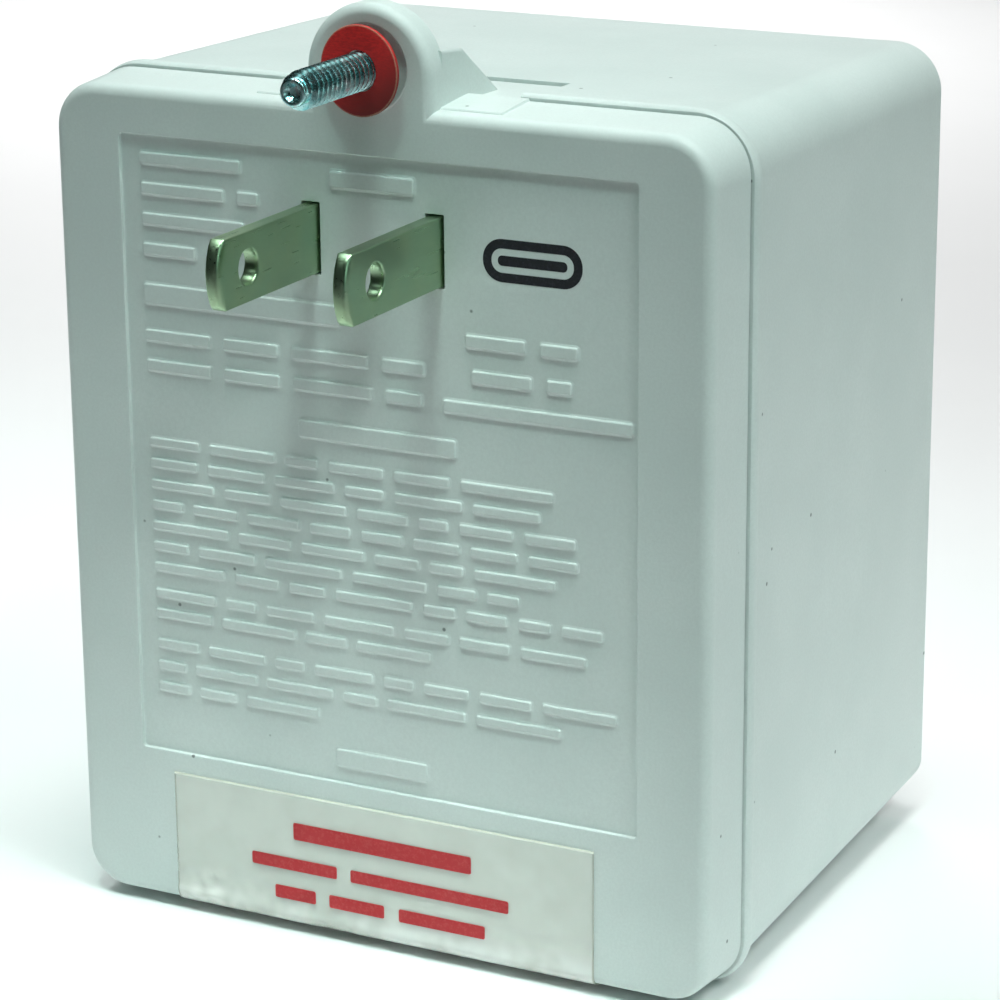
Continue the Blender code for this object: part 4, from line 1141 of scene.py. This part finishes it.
BAR_EDGE = 0.2 * MM
BAR_CORNER_RADIUS = 0.25 * MM
BAR_HALF_UNIT = 0.5 * MM
BAR_SEED = 7
MOST_BARS = 14

# Shares of a row's room: a bar's height, its shortest and longest length, the gap after it and
# the least rest of a row, which else goes to its last bar
BAR_SHARE = 0.6
SHORTEST_BAR = 2.0
LONGEST_BAR = 5.6
GAP_SHARE = 0.75
LEAST_REST = 1.6

# What each point of a seed mesh carries, and all that goes once the bars are made
ROW_SIZES = ("run", "tall", "shortest", "longest")
ROW_NOTES = ROW_SIZES + ("row", "length", "start", "side_x", "side_z")


def rounded_bar(half, rise, sunk, edge, corner):
    """A small raised bar as wide as it is tall, which a geometry tree pulls out to length."""
    outline = Outline(half, half, -half, corner, corner)
    rings = [outline.grown(edge).ring(depth, FEW_STEPS) for depth in (sunk, 0.0)]
    for inset, depth in reversed(quarter_arc(edge, BAR_EDGE_STEPS)):
        rings.append(outline.grown(-inset).ring(depth - rise, FEW_STEPS))
    return loft(rings)


def bar_rows(name, blocks, floor, material, rise, sunk, edge, corner, seed):
    """Rows of bars of uneven length on a face, one vertex of a seed mesh for each row."""
    rows = [row for rows_of in blocks for row in rows_of.rows()]
    carrier = bpy.data.meshes.new(name)
    carrier.from_pydata([(left, floor, height) for left, height, *_ in rows], [], [])
    for column, attribute in enumerate(ROW_SIZES, start=2):
        layer = carrier.attributes.new(attribute, "FLOAT", "POINT")
        layer.data.foreach_set("value", [row[column] for row in rows])
    made = show(name, carrier)
    stamp = put_on_datum("bar_form", rounded_bar(BAR_HALF_UNIT, rise, sunk, edge, corner))
    stamp.data.transform(Matrix.Translation(-DATUM))

    sizes = {
        "Bar Share": BAR_SHARE,
        "Gap Share": GAP_SHARE,
        "Most Bars": MOST_BARS,
        "Seed": seed,
    }
    graph = geometry_tree(name, sizes)
    given = graph.add("NodeGroupInput", output="Geometry")

    def stored(attribute, kind="FLOAT"):
        return graph.add("GeometryNodeInputNamedAttribute", {"Name": attribute},
                         output="Attribute", data_type=kind)

    def keep(geometry, attribute, value, kind="FLOAT"):
        return graph.add("GeometryNodeStoreNamedAttribute",
                         {"Geometry": geometry, "Name": attribute, "Value": value},
                         data_type=kind, domain="POINT")

    def shifted(geometry, **offset):
        way = graph.add("ShaderNodeCombineXYZ", offset)
        return graph.add("GeometryNodeSetPosition", {"Geometry": geometry, "Offset": way})

    numbered = keep(given, "row", graph.add("GeometryNodeInputIndex"), "INT")
    points = graph.add("GeometryNodeMeshToPoints", {"Mesh": numbered})
    bars = graph.add("GeometryNodeDuplicateElements",
                     {"Geometry": points, "Amount": given.other("Most Bars")}, domain="POINT")
    drawn = graph.add("FunctionNodeRandomValue", {
        "Min": stored("shortest"),
        "Max": stored("longest"),
        "ID": graph.add("GeometryNodeInputIndex"),
        "Seed": given.other("Seed"),
    }, output="Value", data_type="FLOAT")
    with_length = keep(bars, "length", drawn)
    gap = stored("tall") * given.other("Gap Share")
    before = graph.add("GeometryNodeAccumulateField",
                       {"Value": stored("length") + gap, "Group ID": stored("row", "INT")},
                       output="Trailing", data_type="FLOAT", domain="POINT")
    with_start = keep(with_length, "start", before)
    room = stored("run") - stored("start")
    inside = graph.add("GeometryNodeDeleteGeometry",
                       {"Geometry": with_start, "Selection": room < stored("tall")},
                       domain="POINT")
    left_over = room - stored("length")
    short_rest = left_over < stored("tall") * LEAST_REST
    fitted = stored("length") + left_over * graph.math("MAXIMUM", short_rest, left_over < 0.0)
    with_fitted = keep(inside, "length", fitted)
    moved = shifted(with_fitted, X=stored("start") + stored("length") / 2)
    form = graph.add("GeometryNodeObjectInfo", {"Object": stamp}, output="Geometry")
    form_place = graph.add("GeometryNodeInputPosition")
    form_x = graph.add("ShaderNodeSeparateXYZ", {0: form_place})
    marked = keep(form, "side_x", graph.math("SIGN", form_x))
    marked = keep(marked, "side_z", graph.math("SIGN", form_x.other("Z")))
    placed = graph.add("GeometryNodeInstanceOnPoints", {"Points": moved, "Instance": marked})
    real = graph.add("GeometryNodeRealizeInstances", {"Geometry": placed})
    pulled = shifted(
        real,
        X=stored("side_x") * (stored("length") / 2 - BAR_HALF_UNIT),
        Z=stored("side_z") * (stored("tall") * given.other("Bar Share") / 2 - BAR_HALF_UNIT),
    )
    finish_tree(graph, pulled, material)
    grow(made, graph, sizes)
    made.data.transform(Matrix.Translation(DATUM))
    discard(stamp)
    for attribute in list(made.data.attributes):
        if attribute.name in ROW_NOTES:
            made.data.attributes.remove(attribute)
    return made


# Marks in ink
STAMP = Outline(4.9 * MM, 1.8 * MM, -2.1 * MM, 1.9 * MM, 1.9 * MM, 16.1 * MM)
STAMP_STROKE = 0.85 * MM
STAMP_BAR_INSET = STAMP_STROKE * 1.75
INK_THICKNESS = 0.02 * MM
INK_LIFT = 0.002 * MM
FILM_BAR_SUNK = 0.01 * MM
FILM_BAR_EDGE = 0.004 * MM
FILM_BAR_CORNER_RADIUS = 0.2 * MM
FILM_BAR_SEED = 3


def flat_mark(name, outline, depth, inner=None):
    """A thin printed field, solid or ring shaped."""
    mark = put_on_datum(name, loft([outline.ring(depth), outline.ring(depth - INK_THICKNESS)]))
    if inner:
        tool = put_on_datum(name, loft([inner.ring(depth + MM), inner.ring(depth - MM)]))
        carve(mark, "DIFFERENCE", [tool])
    return mark


def ink_stamp():
    """A plain ring with a bar in it."""
    depth = PANEL_DEPTH + INK_LIFT
    ring = flat_mark("stamp_ring", STAMP, depth, STAMP.grown(-STAMP_STROKE))
    middle = flat_mark("stamp_bar", STAMP.grown(-STAMP_BAR_INSET), depth)
    return join("ink_stamp", [ring, middle])


# Clear film on the face, folded round the lower front edge
FILM_ROWS = (
    one_bar(-9.6, -58.35, 2.9, 9.6),
    one_bar(-14.3, -61.85, 2.1, -4.9),
    one_bar(-3.4, -61.85, 2.1, 13.5),
    one_bar(-11.8, -64.9, 2.2, -7.3),
    one_bar(-5.8, -64.9, 2.2, 0.2),
    one_bar(1.8, -64.9, 2.2, 11.0),
)


# Each wrinkle's middle, its size across and up, and its height, in mm
FILM_WRINKLES = tuple(
    tuple(value * MM for value in wrinkle)
    for wrinkle in (
        (-19.6, -65.4, 0.55, 0.9, 0.5),
        (-18.9, -66.6, 1.1, 0.45, 0.55),
        (-20.6, -66.9, 1.0, 0.5, 0.4),
        (-18.2, -64.6, 0.5, 0.6, 0.3),
        (-22.0, -66.8, 1.2, 0.4, 0.2),
        (-15.5, -66.9, 3.2, 0.7, 0.12),
        (-8.0, -67.2, 5.0, 0.7, 0.1),
        (3.0, -67.2, 6.0, 0.6, 0.08),
        (16.0, -67.3, 4.0, 0.5, 0.08),
    )
)


def film_path(offset):
    """The film's section from its top edge down the face, round the edge and along the bottom."""
    top = FILM_HIGH.z - DATUM.z
    end = FILM_HIGH.y - DATUM.y
    fold = RIM.bottom + FRONT_EDGE_RADIUS
    slope = COVER_DRAFT / (COVER_REAR - FRONT_EDGE_RADIUS)
    path = []
    for row in range(FILM_FACE_ROWS):
        path.append((-offset, top + (fold - top) * row / FILM_FACE_ROWS))
    radius = FRONT_EDGE_RADIUS + offset
    for row in range(FILM_FOLD_ROWS):
        angle = QUARTER * row / FILM_FOLD_ROWS
        path.append((FRONT_EDGE_RADIUS - radius * math.cos(angle), fold - radius * math.sin(angle)))
    for row in range(FILM_UNDER_ROWS + 1):
        run = (end - FRONT_EDGE_RADIUS) * row / FILM_UNDER_ROWS
        path.append((FRONT_EDGE_RADIUS + run, RIM.bottom - slope * run - offset))
    return path


def crumple(x, z):
    """How far the film stands off the case at a place on the face."""
    lift = 0.0
    for centre_x, centre_z, size_x, size_z, height in FILM_WRINKLES:
        near = ((x - centre_x) / size_x) ** 2 + ((z - centre_z) / size_z) ** 2
        lift += height * math.exp(-near)
    return lift


def film_sheet():
    shape = bmesh.new()
    layers = []
    for offset in (FILM_GAP, FILM_GAP + FILM_THICKNESS):
        path = film_path(offset)
        grid = []
        for place in range(len(path)):
            depth, height = path[place]
            before = path[max(place - 1, 0)]
            after = path[min(place + 1, len(path) - 1)]
            along = Vector((after[0] - before[0], after[1] - before[1])).normalized()
            out_y, out_z = along.y, -along.x
            line = []
            for column in range(FILM_COLUMNS + 1):
                x = FILM_LOW.x + (FILM_HIGH.x - FILM_LOW.x) * column / FILM_COLUMNS
                lift = crumple(x, height)
                line.append(shape.verts.new((x, depth + out_y * lift, height + out_z * lift)))
            grid.append(line)
        layers.append(grid)
    inner, outer = layers
    last_row = len(inner) - 1
    for row in range(last_row):
        for column in range(FILM_COLUMNS):
            for grid in layers:
                shape.faces.new((grid[row][column], grid[row][column + 1],
                                 grid[row + 1][column + 1], grid[row + 1][column]))
    for row in range(last_row):
        for column in (0, FILM_COLUMNS):
            shape.faces.new((inner[row][column], inner[row + 1][column],
                             outer[row + 1][column], outer[row][column]))
    for column in range(FILM_COLUMNS):
        for row in (0, last_row):
            shape.faces.new((inner[row][column], inner[row][column + 1],
                             outer[row][column + 1], outer[row][column]))
    return put_on_datum("film_sheet", shape)


# Finishes
SPECK_SPACING = 5.0 * MM
SPECK_EDGE = (0.022, 0.05)
SPECKS_LEFT_OUT = 0.35
LAMINATION = 0.25 * MM
WIRE_TURN = 0.14 * MM


def case_plastic():
    """Off-white moulding with a fine grain, a slight swell and a few dark specks."""
    paint = Finish("case_plastic", roughness=0.46)
    cloud = paint.noise(size=14 * MM, detail=3.0)
    grain = paint.noise(size=0.28 * MM, detail=2.0, rough=0.7)
    base = paint.mix(paint.smooth(cloud, 0.3, 0.7), (0.735, 0.80, 0.78), (0.785, 0.845, 0.825))
    speckled = paint.mix(paint.smooth(grain, 0.25, 0.75) * 0.35, base, (0.66, 0.71, 0.69))
    cells = paint.add("ShaderNodeTexVoronoi", {"Vector": paint.place, "Scale": 1 / SPECK_SPACING},
                      output="Distance")
    chosen = paint.add("ShaderNodeSeparateColor", {"Color": cells.other("Color")}, output="Red")
    speck = (1 - paint.smooth(cells, *SPECK_EDGE)) * (chosen > SPECKS_LEFT_OUT)
    color = paint.mix(speck * 0.8, speckled, (0.10, 0.13, 0.12))
    fine = paint.bump(grain, depth=0.006 * MM, strength=0.6)
    waves = paint.noise(size=3.2 * MM, detail=1.0)
    swell = paint.bump(waves, depth=0.02 * MM, strength=0.5, before=fine)
    paint.feed(base_color=color, roughness=0.42 + paint.noise(size=1.1 * MM) * 0.12, normal=swell)
    return paint.material


def blade_nickel():
    """Nickel plate, brushed along the blade."""
    paint = Finish("blade_nickel", roughness=0.3, metallic=1.0)
    brushed = paint.noise(size=0.35 * MM, detail=1.0, place=paint.mapped(scale=(1.0, 0.08, 1.0)))
    cloud = paint.noise(size=4.0 * MM, detail=3.0)
    color = paint.mix(cloud, (0.405, 0.51, 0.30), (0.30, 0.47, 0.335))
    paint.feed(
        base_color=color,
        roughness=0.22 + brushed * 0.18,
        normal=paint.bump(cloud, depth=0.01 * MM, strength=0.3),
    )
    return paint.material


def screw_zinc():
    """Clear zinc plate with a bluish and pinkish tint in patches."""
    paint = Finish("screw_zinc", roughness=0.25, metallic=1.0)
    cloud = paint.noise(size=1.2 * MM, detail=4.0, warp=1.0)
    tint = paint.add("ShaderNodeValToRGB", {"Fac": cloud}, stops=(
        (0.30, (0.24, 0.60, 0.63)),
        (0.55, (0.56, 0.84, 0.86)),
        (0.72, (0.74, 0.68, 0.72)),
    ))
    scuff = paint.noise(size=0.18 * MM, detail=4.0)
    paint.feed(
        base_color=tint,
        roughness=0.18 + scuff * 0.16,
        normal=paint.bump(scuff, depth=0.004 * MM, strength=0.5),
    )
    return paint.material


def red_fibre():
    """Red fibre, with painted shade darkening its lower right side, and paler where its rim is
    rubbed.
    """
    paint = Finish("red_fibre", roughness=0.6)
    middle = (0.0, (WASHER_LOW.y + WASHER_HIGH.y) / 2, DATUM.z + SCREW_HEIGHT)
    x, y, z = paint.split(paint.mapped(centre=middle, turn=(0.0, 0.0, WASHER_TILT)))
    radius = paint.math("SQRT", x * x + z * z)
    flattened = paint.mapped(scale=(1.0, 1.0, 3.0))
    fibre = paint.noise(size=0.5 * MM, detail=5.0, rough=0.7, place=flattened)
    body = paint.mix(paint.smooth(fibre, 0.3, 0.72), (0.54, 0.009, 0.011), (0.82, 0.026, 0.024))
    # Painted shade: the washer darkens towards its lower right, as if in shadow.
    painted_shade_side = paint.smooth(x * 0.6 - z * 0.8 + (fibre - 0.5) * 1.5 * MM, -1.0 * MM, 4.0 * MM)
    body = paint.mix(painted_shade_side * 0.8, body, (0.10, 0.006, 0.006))
    front = paint.smooth(-1.0 * y, WASHER_THICKNESS / 4, WASHER_THICKNESS / 2)
    ragged = radius + (fibre - 0.5) * WASHER_RUBBED
    rubbed = front * paint.smooth(ragged, WASHER_RADIUS - WASHER_RUBBED, WASHER_RADIUS)
    color = paint.mix(rubbed * 0.7, body, (0.55, 0.32, 0.22))
    paint.feed(
        base_color=color,
        roughness=0.5 + fibre * 0.25,
        normal=paint.bump(fibre, depth=0.02 * MM, strength=0.6),
    )
    return paint.material


def clear_film():
    """Clear film with a faint haze, a painted highlight along its top edge, painted shade along its
    sides and a painted glare low down.
    """
    paint = Finish("clear_film", roughness=0.16)
    haze = paint.noise(size=9.0 * MM, detail=3.0)
    fine = paint.noise(size=0.8 * MM, detail=3.0)
    x, _, z = paint.split()
    from_side = paint.math("MINIMUM", x - FILM_LOW.x, FILM_HIGH.x - x)
    # Painted shade darkens the film along its sides, and a painted highlight brightens its top
    # edge.
    painted_side_shade = 1 - paint.smooth(from_side, *FILM_SIDE_SHADE)
    painted_top_highlight = 1 - paint.smooth(FILM_HIGH.z - z, *FILM_TOP_HIGHLIGHT)
    color = paint.mix(haze, (0.90, 0.855, 0.79), (0.94, 0.90, 0.86))
    low_down = 1 - paint.smooth(z, COVER_LOW.z + 1.0 * MM, COVER_LOW.z + 5.0 * MM)
    # Painted glare: the film is near white and more opaque in patches low down.
    painted_glare = low_down * paint.smooth(haze, 0.3, 0.6)
    color = paint.mix(painted_glare, color, (1.0, 0.99, 0.97))
    color = paint.mix(painted_side_shade * 0.9, color, (0.50, 0.48, 0.42))
    color = paint.mix(painted_top_highlight, color, (0.98, 0.96, 0.86))
    cover = 0.3 + paint.smooth(haze, 0.35, 0.7) * 0.06 + painted_glare * 0.45
    paint.feed(
        base_color=color,
        alpha=cover + painted_side_shade * 0.12 + painted_top_highlight * 0.3,
        roughness=0.12 + fine * 0.14,
        normal=paint.bump(haze, depth=0.05 * MM, strength=0.35),
    )
    return paint.material


def ink(name, color, worn_color, cover):
    """Ink that is thin in places, where the surface under it shows."""
    paint = Finish(name, roughness=0.5)
    blot = paint.noise(size=0.35 * MM, detail=4.0, rough=0.7)
    paint.feed(
        base_color=paint.mix(paint.smooth(blot, 0.45, 0.75), color, worn_color),
        alpha=cover - paint.smooth(blot, 0.62, 0.8) * 0.35,
        roughness=0.4 + blot * 0.25,
    )
    return paint.material


def layered_steel():
    """Varnished sheets, edge on, stacked through the core's depth."""
    paint = Finish("core_steel", roughness=0.5, metallic=0.8)
    _, y, _ = paint.split()
    sheet = paint.math("PINGPONG", y, LAMINATION) / LAMINATION
    stain = paint.noise(size=6.0 * MM, detail=4.0)
    color = paint.mix(paint.smooth(sheet, 0.1, 0.4), (0.06, 0.06, 0.065), (0.27, 0.27, 0.29))
    color = paint.mix(paint.smooth(stain, 0.5, 0.8) * 0.5, color, (0.22, 0.13, 0.07))
    paint.feed(
        base_color=color,
        roughness=0.4 + stain * 0.3,
        normal=paint.bump(sheet, depth=0.05 * MM, strength=0.7),
    )
    return paint.material


def wound_copper():
    """Enamelled turns that lie one above the other up the coil, with painted shade in the grooves
    between them and a painted highlight along their crowns.
    """
    paint = Finish("enamelled_copper", roughness=0.35, metallic=0.9)
    _, _, z = paint.split()
    turn = paint.math("PINGPONG", z, WIRE_TURN) / WIRE_TURN
    cloud = paint.noise(size=5.0 * MM)
    # Painted shade and highlight: dark in the grooves between turns, light along their crowns.
    color = paint.mix(turn, (0.22, 0.06, 0.025), (0.62, 0.24, 0.09))
    color = paint.mix(cloud * 0.4, color, (0.5, 0.3, 0.1))
    paint.feed(
        base_color=color,
        roughness=0.25 + cloud * 0.2,
        normal=paint.bump(turn, depth=0.08 * MM, strength=0.8),
    )
    return paint.material


def plain_finish(name, dark, light, lump, roughness, metallic=0.0, stretch=(1, 1, 1),
                 depth=0.01 * MM):
    """A finish of two close tones with a fine relief, for sheet, strip and moulded pieces."""
    paint = Finish(name, roughness, metallic)
    pattern = paint.noise(lump, detail=4.0, rough=0.6, place=paint.mapped(scale=stretch))
    broad = paint.noise(lump * 8)
    color = paint.mix(paint.smooth(pattern * 0.6 + broad * 0.4, 0.3, 0.7), dark, light)
    paint.feed(
        base_color=color,
        roughness=roughness - 0.06 + pattern * 0.12,
        normal=paint.bump(pattern, depth, strength=0.6),
    )
    return paint.material


ROLLED = {"metallic": 1.0, "stretch": (1.0, 0.1, 1.0)}

# A finish's name, its nodes, its dark and light tone, its lump, its roughness, what is special
PLAIN_FINISHES = (
    ("strap_steel", ("core_strap",),
     (0.36, 0.36, 0.37), (0.55, 0.55, 0.55), 0.6 * MM, 0.42, ROLLED),
    ("bobbin_nylon", ("bobbin",),
     (0.72, 0.71, 0.64), (0.82, 0.81, 0.75), 1.5 * MM, 0.5, {}),
    ("coil_tape", ("primary_tape", "secondary_tape"),
     (0.66, 0.50, 0.06), (0.82, 0.68, 0.14), 1.2 * MM, 0.35, {"stretch": (1.0, 1.0, 6.0)}),
    ("component_body", ("thermal_cutoff", "secondary_fuse"),
     (0.07, 0.07, 0.075), (0.14, 0.14, 0.15), 0.5 * MM, 0.45, {}),
    ("lead_insulation", ("primary_lead_left", "primary_lead_right", "secondary_lead"),
     (0.02, 0.02, 0.022), (0.05, 0.05, 0.052), 0.6 * MM, 0.5, {}),
    ("fish_paper", ("insulating_sheet",),
     (0.28, 0.31, 0.24), (0.42, 0.45, 0.36), 0.4 * MM, 0.85, {"depth": 0.03 * MM}),
    ("terminal_brass", ("terminal_plate_left", "terminal_plate_right"),
     (0.58, 0.43, 0.19), (0.76, 0.60, 0.32), 0.5 * MM, 0.34, ROLLED),
)
ZINC_NODES = (
    "terminal_screw_left",
    "terminal_screw_right",
    "terminal_nut_left",
    "terminal_nut_right",
)


def dress_cad_nodes(zinc):
    """Gives the nodes that stay as the CAD made them their finishes."""
    dressed = [
        (layered_steel(), ("core_e_stack", "core_i_stack")),
        (wound_copper(), ("primary_winding", "secondary_winding")),
        (zinc, ZINC_NODES),
    ]
    for name, nodes, dark, light, lump, roughness, special in PLAIN_FINISHES:
        dressed.append((plain_finish(name, dark, light, lump, roughness, **special), nodes))
    for finish, nodes in dressed:
        for node in nodes:
            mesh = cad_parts[node].data
            mesh.materials.clear()
            mesh.materials.append(finish)


# Stage
CAMERA_AZIMUTH = math.radians(27.40)
CAMERA_ELEVATION = math.radians(17.23)
CAMERA_ROLL = math.radians(-0.48)
CAMERA_DISTANCE = 312.3 * MM
CAMERA_AIM = Vector((12.90 * MM, 0.0, -22.15 * MM))
CAMERA_LENS = 125.03
SENSOR_WIDTH = 36.0
NEAREST_SEEN = 10 * MM
FARTHEST_SEEN = 20.0
FLOOR_HALF_WIDTH = 3.0

WHITE = (1.0, 1.0, 1.0)
FAINT = (0.82, 1.0, 0.96)
PALE = (0.85, 1.0, 0.94)
HALF_COOL = (0.65, 1.0, 0.92)
COOL = (0.35, 1.0, 0.85)
ROOM_LIGHT = (0.70, 1.0, 0.90, 1.0)
ROOM_STRENGTH = 0.01

# Each light's name, its place, the place it faces, its size, its spread in degrees, its power
# in watts and its colour
SOFTBOXES = (
    ("key_left", (-0.30, 0.15, 0.60), (-0.14, 0.10, 0.0), 0.2, 40, 0.018, WHITE),
    ("key_left_edge", (-0.30, -0.06, 0.60), (-0.14, 0.0, 0.0), 0.2, 40, 0.081, FAINT),
    ("key_right", (0.55, 0.12, 0.60), (0.22, 0.10, 0.0), 0.2, 40, 0.123, WHITE),
    ("key_edge", (0.10, -0.04, 0.80), (0.0, 0.03, 0.03), 0.25, 40, 0.2, WHITE),
    ("key_corner", (0.35, -0.15, 0.55), (0.03, -0.02, 0.07), 0.12, 24, 0.022, FAINT),
    ("key_front_top", (0.05, -0.25, 0.70), (0.0, -0.02, 0.07), 0.12, 20, 0.0087, COOL),
    ("fill_right", (0.75, 0.10, 0.55), (0.0, 0.0, 0.045), 0.4, 180, 0.171, COOL),
    ("side_low", (0.45, -0.05, 0.12), (0.0345, 0.0, 0.03), 0.2, 40, 0.0123, HALF_COOL),
    ("glint", (-0.44, -0.71, 0.67), (0.0, -0.03, 0.085), 0.10, 180, 0.17, FAINT),
    ("floor_near", (0.02, -0.12, 0.30), (0.0, -0.035, 0.0), 0.06, 16, 0.0068, PALE),
    ("floor_behind", (-0.35, 0.65, 0.60), (-0.22, 0.38, 0.0), 0.3, 60, 0.87, WHITE),
    ("floor_front", (0.10, -0.85, 0.60), (0.05, -0.75, 0.0), 0.3, 60, 0.5, WHITE),
)


def make_camera():
    back = Vector((
        math.sin(CAMERA_AZIMUTH) * math.cos(CAMERA_ELEVATION),
        -math.cos(CAMERA_AZIMUTH) * math.cos(CAMERA_ELEVATION),
        math.sin(CAMERA_ELEVATION),
    ))
    level = Vector((0.0, 0.0, 1.0)).cross(back).normalized()
    upright = back.cross(level)
    right = level * math.cos(CAMERA_ROLL) + upright * math.sin(CAMERA_ROLL)
    up = upright * math.cos(CAMERA_ROLL) - level * math.sin(CAMERA_ROLL)
    camera = show("camera", bpy.data.cameras.new("camera"))
    camera.data.lens = CAMERA_LENS
    camera.data.sensor_width = SENSOR_WIDTH
    camera.data.clip_start = NEAREST_SEEN
    camera.data.clip_end = FARTHEST_SEEN
    turn = Matrix((right, up, back)).transposed().to_4x4()
    camera.matrix_world = Matrix.Translation(DATUM + CAMERA_AIM + back * CAMERA_DISTANCE) @ turn
    bpy.context.scene.camera = camera


def make_softbox(name, place, aim, size, spread, power, color):
    """A square area light at a place, facing another place, with a spread in degrees."""
    lamp = bpy.data.lights.new(name, "AREA")
    lamp.shape = "SQUARE"
    lamp.size = size
    lamp.spread = math.radians(spread)
    lamp.energy = power
    lamp.color = color
    made = show(name, lamp)
    made.visible_camera = False
    facing = (Vector(aim) - Vector(place)).to_track_quat("-Z", "Y")
    made.matrix_world = Matrix.Translation(place) @ facing.to_matrix().to_4x4()


def make_floor():
    shape = bmesh.new()
    ends = span(0.0, FLOOR_HALF_WIDTH)
    corners = ((ends[0], ends[0]), (ends[1], ends[0]), (ends[1], ends[1]), (ends[0], ends[1]))
    shape.faces.new([shape.verts.new((x, y, 0.0)) for x, y in corners])
    floor = show("floor", mesh_from("floor", shape))
    paint = Finish("floor_paper", roughness=0.9)
    mottle = paint.noise(size=30 * MM, detail=3.0)
    paint.feed(base_color=paint.mix(mottle, (0.93, 0.93, 0.93), (0.96, 0.96, 0.96)))
    floor.data.materials.append(paint.material)


def make_light():
    world = bpy.data.worlds.new("studio")
    world.use_nodes = True
    background = world.node_tree.nodes["Background"]
    background.inputs["Color"].default_value = ROOM_LIGHT
    background.inputs["Strength"].default_value = ROOM_STRENGTH
    bpy.context.scene.world = world
    for softbox in SOFTBOXES:
        make_softbox(*softbox)
    bpy.context.scene.view_settings.view_transform = "Standard"


def build():
    plastic = case_plastic()
    nickel = blade_nickel()
    zinc = screw_zinc()
    black_ink = ink("black_ink", (0.006, 0.007, 0.012), (0.03, 0.03, 0.045), 1.0)
    red_ink = ink("red_ink", (0.55, 0.012, 0.02), (0.62, 0.06, 0.06), 0.97)

    soften(wear(cover_shell(), plastic, "case", ["plug_cover"]))
    soften(wear(housing_shell(), plastic, "case", ["main_housing"]))
    bars = bar_rows("panel_bars", PANEL_BLOCKS, PANEL_DEPTH, plastic, BAR_RISE, BAR_SUNK,
                    BAR_EDGE, BAR_CORNER_RADIUS, BAR_SEED)
    soften(wear(bars, plastic, "case"))
    for name, side in (("blade_left", -1), ("blade_right", 1)):
        blade = blade_solid(side)
        blade.name = "plug_" + name
        wear(blade, nickel, "case", [name])
        soften(blade, flat_area=BLADE_FLAT_AREA)
    screw = join("threaded_screw", [screw_core(), thread_ridge(zinc)])
    wear(screw, zinc, "captive_screw", ["mounting_screw"])
    soften(screw, weighted=False)
    soften(wear(washer_solid(), red_fibre(), "captive_screw", ["retaining_washer"]))
    film = wear(film_sheet(), clear_film(), "case", ["label_film"])
    film.visible_shadow = False
    soften(film, NEVER_SHARP, weighted=False)
    film_bars = bar_rows("film_bars", FILM_ROWS, -FILM_GAP - FILM_THICKNESS, red_ink,
                         INK_THICKNESS, FILM_BAR_SUNK, FILM_BAR_EDGE, FILM_BAR_CORNER_RADIUS,
                         FILM_BAR_SEED)
    wear(film_bars, red_ink, "case")
    wear(ink_stamp(), black_ink, "case")
    dress_cad_nodes(zinc)
    make_floor()
    make_light()
    make_camera()


build()
